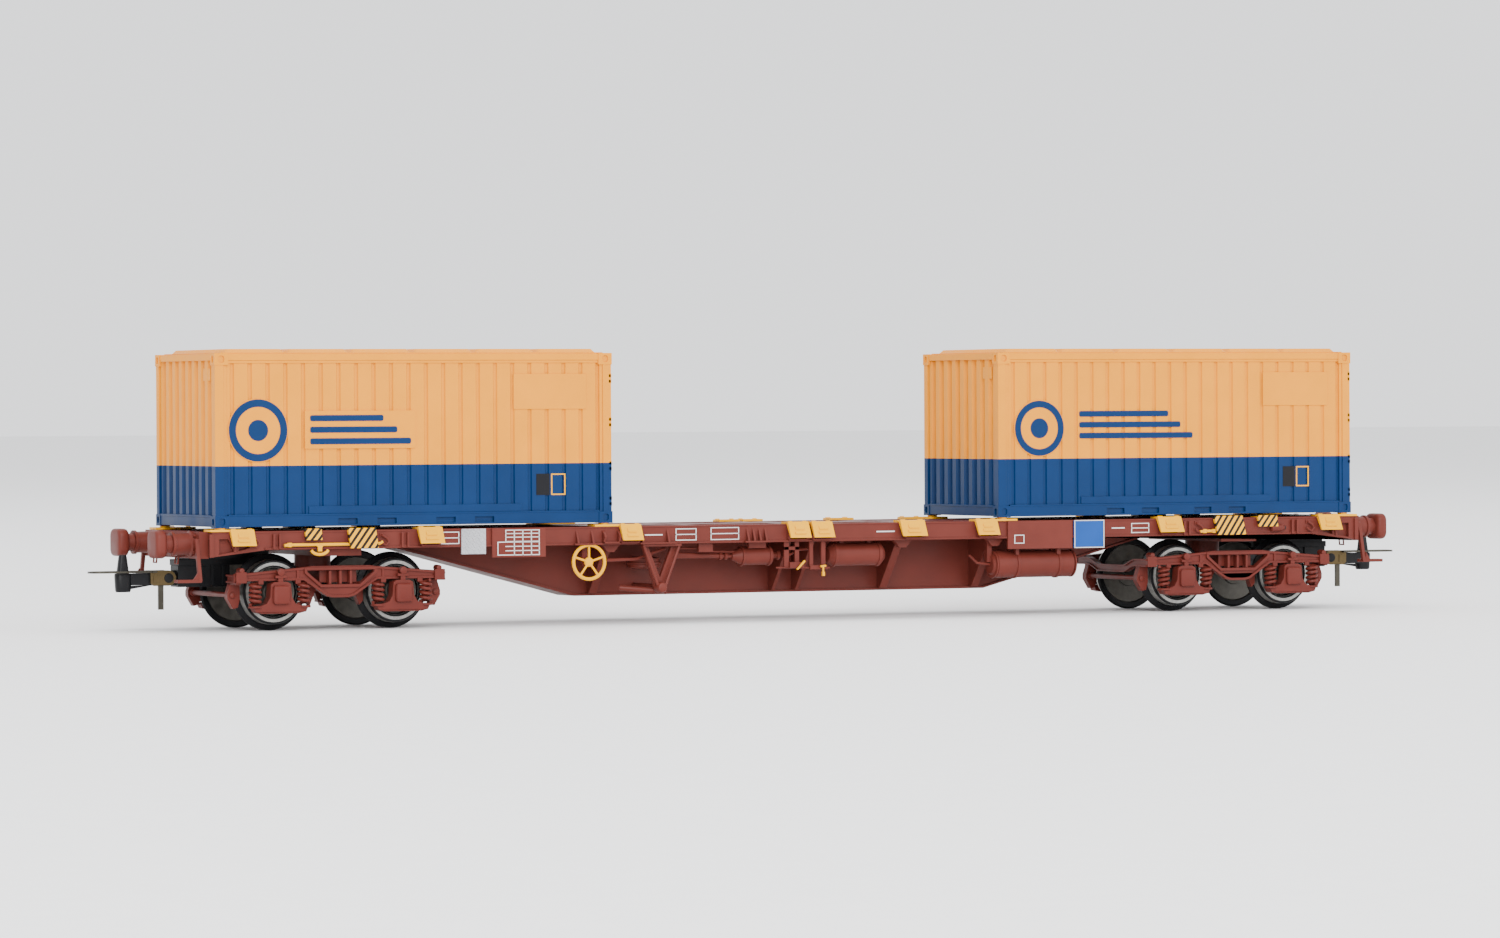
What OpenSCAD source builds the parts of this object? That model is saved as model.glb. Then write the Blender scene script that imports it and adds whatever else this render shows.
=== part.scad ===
// Container flatcar, a 1:87 scale model: a bogie wagon with a fish-bellied
// underframe, close couplers and two 20 ft containers that lift off.
// All sizes are those of the model itself, in millimetres.
// +X runs along the wagon and +Z up. The origin is midway between the bogies,
// on the centre line, level with the lowest point of the wheel flanges.

/* [Wheels and bogies] */
// Distance between the two bogie pivots
pivot_l = 167; // [150:0.5:220]
// Distance between the two axles of a bogie
wheelbase = 21.2; // [20:0.1:26]
// Radius of the wheel tread
wheel_r = 5.3; // [4.6:0.05:6.4]
// Height of the flange beyond the tread
flange_h = 0.95; // [0.6:0.05:1.2]
// Thickness of the flange
flange_t = 0.8; // [0.6:0.05:1]
// Width of a whole wheel, flange included
wheel_w = 2.9; // [2.2:0.05:3]
// Distance between the backs of the two wheels of an axle
back_to_back = 14.4; // [13.8:0.05:14.6]
// Radius of the axle between its wheels
axle_r = 1; // [0.7:0.05:1.3]
// Radius of the journal at each end of the axle
journal_r = 0.5; // [0.35:0.05:0.6]
// Length of a journal
journal_l = 1.8; // [1.7:0.05:2.2]
// Radial clearance of every pin and journal that turns in a hole
running_gap = 0.05; // [0.02:0.01:0.1]
// Thickness of a bogie side frame
side_t = 1.3; // [1:0.1:1.8]
// Height of the side frame's middle above the axles
side_top = 4.2; // [3.6:0.1:4.6]
// Height of the side frame's straight underside above the axles
side_under = 1.9; // [1.6:0.1:2.2]
// Radius of the coil springs
spring_r = 1.1; // [0.8:0.05:1.3]
// Distance from an axle to the springs on either side of it
spring_x = 4.15; // [3.8:0.05:4.6]
// Radius of the pivot pin under each bolster
pivot_r = 1.5; // [1:0.1:2]

/* [Underframe] */
// Distance from a bogie pivot to the face of the headstock
overhang = 24.3; // [24:0.1:30]
// Width over the sole bars
frame_w = 28.4; // [28.2:0.1:30]
// Height of the deck's top above the axles
deck_rise = 9.95; // [9.6:0.05:12]
// Thickness of the deck
deck_t = 1.2; // [0.8:0.1:1.4]
// Height of a sole bar
sole_h = 3; // [2.4:0.1:3.2]
// Width of a sole bar
sole_t = 1.3; // [1:0.1:1.6]
// Height of a headstock
headstock_h = 4.3; // [4:0.1:4.8]
// Thickness of a headstock
headstock_t = 1.6; // [1:0.1:2]
// Length of the taper where the sole bars deepen towards the headstocks
taper_l = 9; // [6:0.5:12]
// Width of the fish-bellied centre girder
girder_w = 6.4; // [5:0.1:10]
// Height of the girder's lowest edge above the rails
belly_clear = 3.55; // [3:0.05:6]
// Distance from a bogie pivot to the end of the girder
belly_setback = 12.2; // [12:0.1:20]
// Length of each sloping stretch of the girder
belly_slope_l = 33; // [24:0.5:36]

/* [Buffers and couplers] */
// Distance between the middles of the two buffers of an end
buffer_gauge = 18; // [17:0.1:20.4]
// Length of a buffer, headstock to face
buffer_l = 6.7; // [5:0.1:8]
// Width of a buffer head
buffer_head_w = 4.9; // [4:0.1:5.4]
// Height of a buffer head
buffer_head_h = 4.5; // [3.8:0.1:5]
// Thickness of a buffer head
buffer_head_t = 1.9; // [1.2:0.1:2.4]
// Radius of a buffer shank
buffer_shank_r = 1.6; // [1.2:0.1:1.8]
// Height of the coupler's middle above the rails
coupler_h = 7.65; // [7.4:0.05:7.9]
// Width of the coupler pocket
pocket_w = 3.6; // [3.2:0.1:4]
// Width of the coupler's shank
shank_w = 2; // [1.6:0.1:2.4]
// Height of the coupler's shank
shank_h = 2.2; // [1.8:0.1:2.4]
// Distance from the headstock's face to the coupler's front
coupler_reach = 9.8; // [9:0.1:11]
// Distance from the coupler's front to the tip of its loop
loop_reach = 4.5; // [3:0.1:5]

/* [Containers] */
// Length of a container over its corner castings
cont_l = 69.6; // [60:0.1:70]
// Width of a container over its corner castings
cont_w = 28; // [27:0.1:28.4]
// Height of a container over its corner castings
cont_h = 28; // [24:0.1:34]
// Distance from the headstock's face to the container's end
cont_inset = 2.3; // [1:0.1:4]
// Thickness of the walls
cont_t = 1; // [0.6:0.05:1.4]
// How far the corner castings stand out from the walls
casting_proud = 0.3; // [0.1:0.05:0.5]
// Length of a corner casting
casting_l = 2.4; // [2:0.1:2.6]
// Width of a corner casting
casting_w = 2; // [1.8:0.1:2.4]
// Height of a corner casting
casting_h = 1.9; // [1.6:0.1:2.4]
// Height of the roof above the corner castings
roof_rise = 0.7; // [0.3:0.1:1]
// How far the roof stops short of the container's ends
roof_inset = 1.2; // [0.8:0.1:2]
// Radius of the locating stud on each spigot
stud_r = 0.55; // [0.4:0.05:0.7]

/* [Deck fittings] */
// Thickness of the spigot plates and flaps
flap_t = 0.35; // [0.25:0.05:0.5]
// Length of a flap down its slope
flap_drop = 2.3; // [1.8:0.1:2.6]
// Distance that a flap's lower edge stands out from the sole bar
flap_out = 1.9; // [1.2:0.05:2.4]
// Radius of the hand wheels
handwheel_r = 3.1; // [2.4:0.1:3.3]
// Position of the hand wheels along the wagon
handwheel_x = -40.5; // [-50:0.5:-36]
// Radius of the large air tank
tank_r = 2.3; // [2:0.1:2.4]
// Length of the large air tank
tank_l = 16; // [10:0.1:18]

/* [Hidden] */
$fn = 48;

// heights
rail_z = flange_h;
axle_z = wheel_r + flange_h;
deck_z = axle_z + deck_rise;
sole_z = deck_z - sole_h;
headstock_z = deck_z - headstock_h;
side_z = axle_z + side_under;
bogie_top_z = axle_z + side_top;
belly_z = rail_z + belly_clear;
coupler_z = rail_z + coupler_h;
buffer_z = deck_z - headstock_h / 2 + 0.2;

// lengths
pivot_x = pivot_l / 2;
frame_l = pivot_l + 2 * overhang;
head_x = frame_l / 2;
belly_end_x = pivot_x - belly_setback;
belly_flat_x = belly_end_x - belly_slope_l;
sole_y = frame_w / 2;
deck_w = frame_w - 2 * sole_t;

// wheels and axle boxes
brake_gap = 0.35;
wheel_face_y = back_to_back / 2 + wheel_w;
side_clear = 1.3;
side_y = wheel_face_y + side_clear;
box_w = 4.3;
box_depth = 2.5;
seat_t = 0.9;
seat_l = 2 * (spring_x + spring_r) - 1.2;
seat_z = axle_z - 2.35;
journal_reach = wheel_face_y + 0.3 + journal_l;
end_beam_x = wheelbase / 2 + wheel_r + flange_h + brake_gap;
end_beam_t = 0.8;
end_beam_h = 1.3;
transom_l = 6.4;
spring_near_x = wheelbase / 2 - spring_x;
brake_t = 0.8;
block_w = 1.4;
block_y = wheel_face_y - 0.2;

// containers and their seats
spigot_rise = 0.6;
cont_z = deck_z + spigot_rise;
cont_x = head_x - cont_inset - cont_l / 2;
seat_dx = (cont_l - casting_l) / 2;
seat_dy = (cont_w - casting_w) / 2;
stud_h = 0.9;
wall_x = cont_l / 2 - casting_proud;
wall_y = cont_w / 2 - casting_proud;
wall_top = cont_h - 0.3;
wall_foot = 0.3;
floor_t = 1;
floor_rise = 0.8;

// hand wheels
wheel_z = deck_z - 5.8;
bracket_t = 0.6;
bracket_y = sole_y - sole_t + bracket_t;

// couplers
guide_l = 14;
guide_w = 6;
drawbar_t = 1;
drawbar_w = 4.4;
drawbar_top = headstock_z - 0.3;
swing_x = head_x - 12;
pocket_depth = 3;
pocket_l = 8.9;
pocket_back = 0.35;
pocket_wall = 0.4;
link_r = 1.25;
link_t = 0.4;
link_gap = 0.1;
link_pin_r = 0.45;
loop_pin_x = head_x + 1.1;
hook_w = 2;
hook_l = 2.7;

// flaps that hang beside the deck: middle and length of each
FLAPS = [
    [-101.2, 4], [-68.7, 4.2], [-33, 3.7], [-2.3, 3.8], [2.1, 3.8],
    [19.1, 4.6], [33.2, 4], [68.7, 4.6], [100.5, 4.2]
];
// warning flaps: middle, length and drop of each
WARNING_FLAPS = [[-89, 2.8, 1.5], [-80.6, 4.8, 2.9], [80.4, 5.6, 2.9], [88.2, 3.8, 1.6]];
RIB_X = [-35.6, -2.2, 2.2, 18.4, 36];
HOOK_BARS = [[-85.5, 17], [77, 4.4]];

// ---- helpers

// a box given by its lowest and highest corners
module span(low, high) {
    translate(low)
        cube(high - low);
}

// children on both sides of the wagon
module both_sides() {
    children();
    mirror([0, 1, 0])
        children();
}

// children at both ends of the wagon
module both_ends() {
    children();
    mirror([1, 0, 0])
        children();
}

// children as drawn, or turned to the other end
module turned_to(s) {
    if (s > 0)
        children();
    else
        mirror([1, 0, 0])
            children();
}

// an outline drawn in X and Z, given its thickness in Y from y0 to y1
module plate_xz(y0, y1) {
    translate([0, y1, 0])
        rotate([90, 0, 0])
            linear_extrude(y1 - y0)
                children();
}

// an outline drawn in Y and Z, given its length in X from x0 to x1
module plate_yz(x0, x1) {
    translate([x0, 0, 0])
        rotate([90, 0, 90])
            linear_extrude(x1 - x0)
                children();
}

// a round bar along Y
module bar_y(x, z, r, y0, y1) {
    translate([x, y1, z])
        rotate([90, 0, 0])
            cylinder(h = y1 - y0, r = r);
}

// a round bar along X
module bar_x(y, z, r, x0, x1) {
    translate([x0, y, z])
        rotate([0, 90, 0])
            cylinder(h = x1 - x0, r = r);
}

// ---- underframe

module deck() {
    inner_l = frame_l - 2 * headstock_t;
    color("dimgray")
        span([-inner_l / 2, -deck_w / 2, deck_z - deck_t],
             [inner_l / 2, deck_w / 2, deck_z]);
}

module sole_bars() {
    end_x = head_x - headstock_t;
    foot_z = headstock_z + 0.2;
    color("brown")
        both_sides()
            plate_xz(-sole_y, -sole_y + sole_t)
                polygon([
                    [-end_x, deck_z], [-end_x, foot_z],
                    [-end_x + taper_l, sole_z], [end_x - taper_l, sole_z],
                    [end_x, foot_z], [end_x, deck_z]
                ]);
}

module centre_girder() {
    top_z = deck_z - deck_t;
    color("brown")
        plate_xz(-girder_w / 2, girder_w / 2)
            polygon([
                [-belly_end_x, top_z], [-belly_end_x, sole_z],
                [-belly_flat_x, belly_z], [belly_flat_x, belly_z],
                [belly_end_x, sole_z], [belly_end_x, top_z]
            ]);
}

// plates from the girder out to the sole bars
module cross_ribs() {
    rib_t = 0.6;
    foot_w = 1.5;
    head_w = 1.6;
    top_z = deck_z - deck_t;
    foot_z = belly_z + 0.4;
    color("brown")
        both_sides()
            for (x = RIB_X)
                plate_yz(x - rib_t / 2, x + rib_t / 2)
                    polygon([
                        [girder_w / 2, foot_z], [girder_w / 2 + foot_w, foot_z],
                        [deck_w / 2 - head_w, sole_z], [deck_w / 2, sole_z],
                        [deck_w / 2, top_z], [girder_w / 2, top_z]
                    ]);
}

module headstocks() {
    color("brown")
        both_ends()
            span([head_x - headstock_t, -frame_w / 2 + 1.4, headstock_z],
                 [head_x, frame_w / 2 - 1.4, deck_z]);
}

module bolsters() {
    beam_l = 7;
    pin_l = 3;
    color("brown")
        both_ends()
            translate([pivot_x, 0, 0]) {
                span([-beam_l / 2, -deck_w / 2, bogie_top_z + 1.6],
                     [beam_l / 2, deck_w / 2, deck_z - deck_t]);
                translate([0, 0, bogie_top_z])
                    cylinder(h = 1.6, r = 2 * pivot_r);
                translate([0, 0, bogie_top_z - pin_l])
                    cylinder(h = pin_l, r = pivot_r);
            }
}

module buffer_head() {
    corner_r = 1.1;
    linear_extrude(buffer_head_t)
        hull()
            for (sx = [-1, 1], sy = [-1, 1])
                translate([sx * (buffer_head_h / 2 - corner_r),
                           sy * (buffer_head_w / 2 - corner_r)])
                    circle(corner_r, $fn = 32);
}

module buffers() {
    head_start = buffer_l - buffer_head_t;
    collar_l = 1;
    color("brown")
        both_ends()
            both_sides()
                translate([head_x, -buffer_gauge / 2, buffer_z])
                    rotate([0, 90, 0]) {
                        cylinder(h = head_start, r = buffer_shank_r);
                        translate([0, 0, head_start - collar_l])
                            cylinder(h = collar_l, r = buffer_shank_r + 0.3);
                        translate([0, 0, head_start])
                            buffer_head();
                    }
}

// ---- deck fittings

// a flap that slopes down beside the sole bar, with its strip on the deck
module hanging_flap(x, l, drop, out) {
    lip = 0.25;
    strip_w = 2;
    plate_yz(x - l / 2, x + l / 2)
        polygon([
            [sole_y - strip_w, deck_z], [sole_y, deck_z],
            [sole_y + out - flap_t, deck_z - drop], [sole_y + out, deck_z - drop],
            [sole_y + lip + flap_t, deck_z + flap_t], [sole_y - strip_w, deck_z + flap_t]
        ]);
}

// a seat for one corner casting: plate, shoulder and locating stud
module spigot_seat(x) {
    plate_l = 4.4;
    shoulder_r = 0.85;
    span([x - plate_l / 2, seat_dy - 1.6, deck_z],
         [x + plate_l / 2, sole_y + 0.25, deck_z + flap_t]);
    translate([x, seat_dy, deck_z])
        cylinder(h = spigot_rise, r = shoulder_r);
    translate([x, seat_dy, deck_z])
        cylinder(h = spigot_rise + stud_h, r = stud_r);
}

module spigot_plates() {
    color("gold")
        both_sides() {
            for (f = FLAPS)
                hanging_flap(f[0], f[1], flap_drop, flap_out);
            for (cx = [-cont_x, cont_x], dx = [-seat_dx, seat_dx])
                spigot_seat(cx + dx);
        }
}

module warning_flaps() {
    slope = 0.65;
    color("gold")
        both_sides()
            for (f = WARNING_FLAPS)
                hanging_flap(f[0], f[1], f[2], f[2] * slope);
}

module corner_steps() {
    board_z = deck_z - 8.1;
    board_l = 4.1;
    board_w = 2.4;
    board_t = 0.5;
    strap_t = 0.6;
    strap_w = 0.7;
    strap_y = frame_w / 2 - 1.6;
    lean = 1.7;
    color("brown")
        both_ends()
            both_sides() {
                plate_yz(head_x, head_x + strap_t)
                    polygon([
                        [strap_y + lean - strap_w, board_z], [strap_y + lean, board_z],
                        [strap_y, headstock_z + 3.2], [strap_y - strap_w, headstock_z + 3.2]
                    ]);
                span([head_x, strap_y + lean - board_w, board_z],
                     [head_x + board_l, strap_y + lean, board_z + board_t]);
            }
}

module handwheels() {
    rim_r = 0.32;
    spokes = 5;
    hub_r = 0.6;
    wheel_y = sole_y + 0.5;
    color("gold")
        both_sides() {
            translate([handwheel_x, wheel_y, wheel_z])
                rotate([-90, 0, 0]) {
                    rotate_extrude()
                        translate([handwheel_r - rim_r, 0])
                            circle(rim_r, $fn = 24);
                    for (i = [0 : spokes - 1])
                        rotate([0, 0, i * 360 / spokes + 90])
                            translate([0, -0.22, -0.15])
                                cube([handwheel_r - rim_r, 0.44, 0.3]);
                    translate([0, 0, -rim_r])
                        cylinder(h = 2 * rim_r, r = hub_r);
                }
            bar_y(handwheel_x, wheel_z, 0.35, bracket_y, wheel_y);
        }
}

// the V-shaped hangers of the brake shaft, and the hand wheels' brackets
module brake_hangers() {
    hanger_x = -27.2;
    top_w = 6.4;
    foot_z = deck_z - 10.2;
    inner_y = sole_y - sole_t;
    leg_w = 1.1;
    boss_r = 0.9;
    bracket_w = 1.4;
    color("brown")
        both_sides() {
            difference() {
                plate_xz(inner_y, inner_y + 0.7) {
                    polygon([
                        [hanger_x - top_w / 2, sole_z], [hanger_x - boss_r, foot_z],
                        [hanger_x + boss_r, foot_z], [hanger_x + top_w / 2, sole_z]
                    ]);
                    translate([hanger_x, foot_z])
                        circle(boss_r);
                }
                plate_xz(inner_y - 1, sole_y)
                    polygon([
                        [hanger_x - top_w / 2 + leg_w, sole_z - 0.5],
                        [hanger_x, foot_z + 1.6],
                        [hanger_x + top_w / 2 - leg_w, sole_z - 0.5]
                    ]);
            }
            span([handwheel_x - bracket_w / 2, inner_y, wheel_z - 0.7],
                 [handwheel_x + bracket_w / 2, bracket_y, sole_z]);
        }
}

module brake_cylinder() {
    cyl_y = -11;
    cyl_z = deck_z - 5.3;
    cyl_r = 1.55;
    start_x = -12.9;
    end_x = -5.8;
    cone_l = 1.7;
    rod_r = 0.3;
    rod_start = -24;
    lug_x = -8.4;
    color("brown") {
        bar_x(cyl_y, cyl_z, cyl_r, start_x + cone_l, end_x);
        translate([start_x, cyl_y, cyl_z])
            rotate([0, 90, 0])
                cylinder(h = cone_l, r1 = 0.6, r2 = cyl_r);
        bar_x(cyl_y, cyl_z, rod_r, rod_start, start_x);
        span([lug_x - 0.6, cyl_y - 0.5, cyl_z], [lug_x + 0.6, cyl_y + 0.5, deck_z - deck_t]);
    }
}

// a lying tank, hung by two straps from the underside of the deck
module air_tank(x, l, r, y, z) {
    cap_l = r * 0.35;
    strap_w = 0.7;
    translate([x, y, z])
        rotate([0, 90, 0])
            rotate_extrude()
                polygon([
                    [0, -l / 2], [r - cap_l, -l / 2], [r, -l / 2 + cap_l],
                    [r, l / 2 - cap_l], [r - cap_l, l / 2], [0, l / 2]
                ]);
    for (s = [-1, 1])
        span([x + s * l / 4 - strap_w / 2, y - 0.4, z],
             [x + s * l / 4 + strap_w / 2, y + 0.4, deck_z - deck_t]);
}

module air_tanks() {
    color("brown") {
        air_tank(10, 10.4, 1.95, -11, deck_z - 5.3);
        air_tank(43.6, tank_l, tank_r, -11.2, deck_z - 7.45);
    }
}

module hook_bars() {
    bar_r = 0.3;
    bar_z = deck_z - 2.4;
    color("gold")
        both_sides()
            for (b = HOOK_BARS) {
                bar_x(-sole_y - 0.5, bar_z, bar_r, b[0] - b[1] / 2, b[0] + b[1] / 2);
                for (s = [-1, 1])
                    bar_y(b[0] + s * (b[1] / 2 - 0.6), bar_z, 0.25,
                          -sole_y - 0.5, -sole_y);
            }
}

// a flat panel on each sole bar
module side_panel(x0, x1, drop) {
    panel_t = 0.4;
    both_sides()
        span([x0, -sole_y - panel_t, deck_z - drop],
             [x1, -sole_y, deck_z - 0.05]);
}

module red_panels() {
    color("red") {
        side_panel(-57.7, -48.2, 4.8);
        side_panel(37.4, 49.8, 4.8);
    }
}

module blue_panels() {
    color("royalblue")
        side_panel(50.2, 56, 4.8);
}

module tread_plates() {
    color("silver")
        side_panel(-63.1, -58.8, 4.2);
}

// ---- bogies

module at_bogie(side) {
    translate([side * pivot_x, 0, 0])
        children();
}

// children at both axles of a bogie
module both_axles() {
    for (s = [-1, 1])
        translate([s * wheelbase / 2, 0, 0])
            children();
}

module side_frames() {
    half_l = end_beam_x;
    flat_x = 5;
    tip_x = spring_near_x - spring_r - 0.1;
    tip_flat = 1.2;
    tip_h = 0.75;
    end_h = side_top - 1;
    window_x = 5;
    window_low = axle_z + 1.2;
    window_side = axle_z + 2.9;
    window_high = axle_z + 3.3;
    color("brown")
        both_sides()
            difference() {
                plate_xz(side_y, side_y + side_t)
                    polygon([
                        [-half_l, side_z], [-tip_x, side_z],
                        [-tip_flat, axle_z - tip_h], [tip_flat, axle_z - tip_h],
                        [tip_x, side_z], [half_l, side_z],
                        [half_l, axle_z + end_h], [flat_x, bogie_top_z],
                        [-flat_x, bogie_top_z], [-half_l, axle_z + end_h]
                    ]);
                plate_xz(side_y - side_t, side_y + 2 * side_t)
                    polygon([
                        [-window_x, window_side], [0, window_low],
                        [window_x, window_side], [0, window_high]
                    ]);
            }
}

module bogie_bolster() {
    beam_z = axle_z + 1.5;
    color("brown")
        difference() {
            union() {
                span([-transom_l / 2, -side_y, beam_z],
                     [transom_l / 2, side_y, bogie_top_z - 0.5]);
                translate([0, 0, beam_z])
                    cylinder(h = bogie_top_z - beam_z, r = 2 * pivot_r);
            }
            translate([0, 0, beam_z - 1])
                cylinder(h = side_top + 2, r = pivot_r + running_gap);
        }
}

// the bearing box of each axle end, with the spring seat under it
module axle_boxes() {
    color("brown")
        both_sides()
            both_axles()
                difference() {
                    union() {
                        span([-box_w / 2, side_y, seat_z],
                             [box_w / 2, side_y + box_depth, side_z]);
                        span([-seat_l / 2, side_y + 0.2, seat_z - seat_t],
                             [seat_l / 2, side_y + box_depth - 0.2, seat_z]);
                    }
                    bar_y(0, axle_z, journal_r + running_gap,
                          side_y - 1, journal_reach + 0.2);
                }
}

module springs() {
    color("brown")
        both_sides()
            both_axles()
                for (s = [-1, 1])
                    translate([s * spring_x, side_y + box_depth / 2, seat_z])
                        cylinder(h = side_z - seat_z, r = spring_r);
}

// the beams across a bogie's ends and the brake gear that hangs on them; the
// outer beam is open in the middle, where the coupler passes over
module brakes(side) {
    block_top = axle_z + 1.6;
    block_foot = axle_z - 2.6;
    outer_x = wheelbase / 2 + wheel_r + brake_gap;
    inner_x = wheelbase / 2 - wheel_r - brake_gap;
    beam_z = axle_z + 1.65;
    beam_y = side_y + side_t;
    stub_y = 8.6;
    dip = 1.1;
    dip_y = 4;
    color("brown")
        for (s = [-1, 1])
            turned_to(s) {
                if (s == side)
                    both_sides()
                        span([end_beam_x, stub_y, beam_z],
                             [end_beam_x + end_beam_t, beam_y, beam_z + end_beam_h]);
                else
                    plate_yz(end_beam_x, end_beam_x + end_beam_t)
                        polygon([
                            [-beam_y, beam_z], [-stub_y, beam_z],
                            [-dip_y, beam_z - dip], [dip_y, beam_z - dip],
                            [stub_y, beam_z], [beam_y, beam_z],
                            [beam_y, beam_z + end_beam_h], [stub_y, beam_z + end_beam_h],
                            [dip_y, beam_z - dip + end_beam_h],
                            [-dip_y, beam_z - dip + end_beam_h],
                            [-stub_y, beam_z + end_beam_h], [-beam_y, beam_z + end_beam_h]
                        ]);
                both_sides() {
                    span([outer_x, block_y - block_w, block_foot],
                         [end_beam_x + end_beam_t, block_y, block_top]);
                    span([end_beam_x, block_y - block_w, block_top],
                         [end_beam_x + end_beam_t, block_y, beam_z]);
                    span([inner_x - brake_t, block_y - block_w, block_foot + 1],
                         [inner_x, block_y, axle_z + 1.5]);
                    span([transom_l / 2 - 1, block_y - block_w, axle_z + 0.6],
                         [inner_x, block_y, axle_z + 1.5]);
                }
            }
}

// the round beams that join the brake holders of a bogie
module brake_beams() {
    beam_r = 0.45;
    beam_x = end_beam_x + end_beam_t / 2;
    beam_z = axle_z - 0.35;
    holder_y = block_y - block_w;
    color("brown")
        for (s = [-1, 1])
            bar_y(s * beam_x, beam_z, beam_r, -holder_y, holder_y);
}

// ---- wheelsets

module axle() {
    shaft_y = wheel_face_y + 0.3;
    color("dimgray") {
        bar_y(0, axle_z, axle_r, -shaft_y, shaft_y);
        both_sides()
            bar_y(0, axle_z, journal_r, shaft_y, journal_reach);
    }
}

// one wheel, its back face at back_to_back / 2
module wheel() {
    rim_t = 1.1;
    hub_r = 1.8;
    dish = 0.6;
    translate([0, back_to_back / 2, axle_z])
        rotate([-90, 0, 0])
            rotate_extrude($fn = 96)
                polygon([
                    [axle_r, 0], [wheel_r + flange_h - 0.25, 0],
                    [wheel_r + flange_h, 0.25],
                    [wheel_r + flange_h, flange_t - 0.3],
                    [wheel_r, flange_t], [wheel_r, wheel_w],
                    [wheel_r - rim_t, wheel_w], [wheel_r - rim_t, wheel_w - dish],
                    [hub_r, wheel_w - dish], [hub_r, wheel_w], [axle_r, wheel_w]
                ]);
}

module wheels() {
    color("silver")
        both_sides()
            wheel();
}

module wheelset_at(side, s) {
    translate([side * pivot_x + s * wheelbase / 2, 0, 0])
        children();
}

// ---- couplers, drawn at the +X end

// the block under the deck, with the pin on which the drawbar swings
module coupler_guides() {
    color("black")
        both_ends() {
            span([head_x - headstock_t - guide_l, -guide_w / 2, drawbar_top],
                 [head_x - headstock_t, guide_w / 2, deck_z - deck_t]);
            translate([swing_x, 0, drawbar_top - drawbar_t])
                cylinder(h = drawbar_t, r = 0.6);
        }
}

module drawbar() {
    pocket_x = head_x - pocket_back;
    pocket_foot = coupler_z - shank_h / 2 - pocket_wall;
    color("black") {
        difference() {
            union() {
                translate([swing_x, 0, drawbar_top - drawbar_t])
                    cylinder(h = drawbar_t, r = drawbar_w / 2);
                span([swing_x, -drawbar_w / 2, drawbar_top - drawbar_t],
                     [pocket_x, drawbar_w / 2, drawbar_top]);
            }
            translate([swing_x, 0, drawbar_top - 2 * drawbar_t])
                cylinder(h = 3 * drawbar_t, r = 0.6 + running_gap);
        }
        difference() {
            span([pocket_x - pocket_l, -pocket_w / 2, pocket_foot],
                 [pocket_x, pocket_w / 2, drawbar_top - drawbar_t]);
            span([pocket_x - pocket_depth, -shank_w / 2, coupler_z - shank_h / 2],
                 [pocket_x + 1, shank_w / 2, coupler_z + shank_h / 2]);
        }
    }
}

// the shank that plugs into the pocket, its head and the upright horn
module hook() {
    front_x = head_x + coupler_reach;
    root_x = head_x - pocket_back - pocket_depth;
    head_foot = coupler_z - 2.2;
    head_top = coupler_z + 0.8;
    horn_top = coupler_z + 3.8;
    color("black")
        difference() {
            union() {
                span([root_x, -shank_w / 2, coupler_z - shank_h / 2],
                     [front_x - hook_l / 2, shank_w / 2, coupler_z + shank_h / 2]);
                span([front_x - hook_l, -hook_w / 2, head_foot],
                     [front_x, hook_w / 2, head_top]);
                plate_xz(-hook_w / 2 + 0.2, hook_w / 2 - 0.2)
                    polygon([
                        [front_x - hook_l + 0.4, head_top - 1], [front_x - 0.5, head_top - 1],
                        [front_x - 0.8, horn_top], [front_x - hook_l + 0.6, horn_top]
                    ]);
            }
            bar_y(loop_pin_x, coupler_z, link_pin_r + running_gap, -hook_w, hook_w);
        }
}

// the loop: a plate on either side of the shank, joined by its pin, and a
// flat bow that reaches round the hook; a tail hangs from one plate
module loop() {
    inner_y = shank_w / 2 + link_gap;
    outer_y = inner_y + link_t;
    plate_l = 3.1;
    bow_x = loop_pin_x + plate_l - 0.9;
    tail_x = loop_pin_x + 0.9;
    tail_w = 0.9;
    tail_z = coupler_z - 5.1;
    color("darkgoldenrod") {
        bar_y(loop_pin_x, coupler_z, link_pin_r, -outer_y, outer_y);
        both_sides()
            plate_xz(inner_y, outer_y) {
                translate([loop_pin_x, coupler_z])
                    circle(link_r);
                translate([loop_pin_x, coupler_z - link_r])
                    square([plate_l, 2 * link_r]);
            }
        span([tail_x, -outer_y, tail_z],
             [tail_x + tail_w, -inner_y, coupler_z - link_r + 0.2]);
        bow(bow_x, head_x + coupler_reach + loop_reach, inner_y);
    }
}

// a flat bow in the X and Y plane, open towards the wagon
module bow(x0, x1, root_y) {
    strip = 0.45;
    bow_t = 0.35;
    half_w = 2.2;
    round_r = 1.2;
    bow_z = coupler_z + link_r - bow_t;
    translate([0, 0, bow_z])
        linear_extrude(bow_t)
            difference() {
                bow_outline(x0, x1, half_w, round_r);
                bow_outline(x0 - 1, x1 - strip, half_w - strip, round_r - strip);
            }
    both_sides()
        span([x0, root_y, bow_z], [x0 + 0.8, half_w, bow_z + bow_t]);
}

module bow_outline(x0, x1, half_w, r) {
    translate([x0, -half_w])
        square([x1 - x0 - r, 2 * half_w]);
    translate([x0, -half_w + r])
        square([x1 - x0, 2 * (half_w - r)]);
    for (s = [-1, 1])
        translate([x1 - r, s * (half_w - r)])
            circle(r, $fn = 32);
}

// ---- containers, drawn with their doors towards +X

module at_container(side) {
    translate([side * cont_x, 0, cont_z])
        children();
}

// the room that the eight corner castings take up
module casting_blocks(grow = 0) {
    for (sx = [-1, 1], sy = [-1, 1], top = [0, 1])
        translate([sx * (cont_l - casting_l) / 2, sy * (cont_w - casting_w) / 2,
                   casting_h / 2 + top * (cont_h - casting_h)])
            cube([casting_l + grow, casting_w + grow, casting_h + grow], center = true);
}

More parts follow.
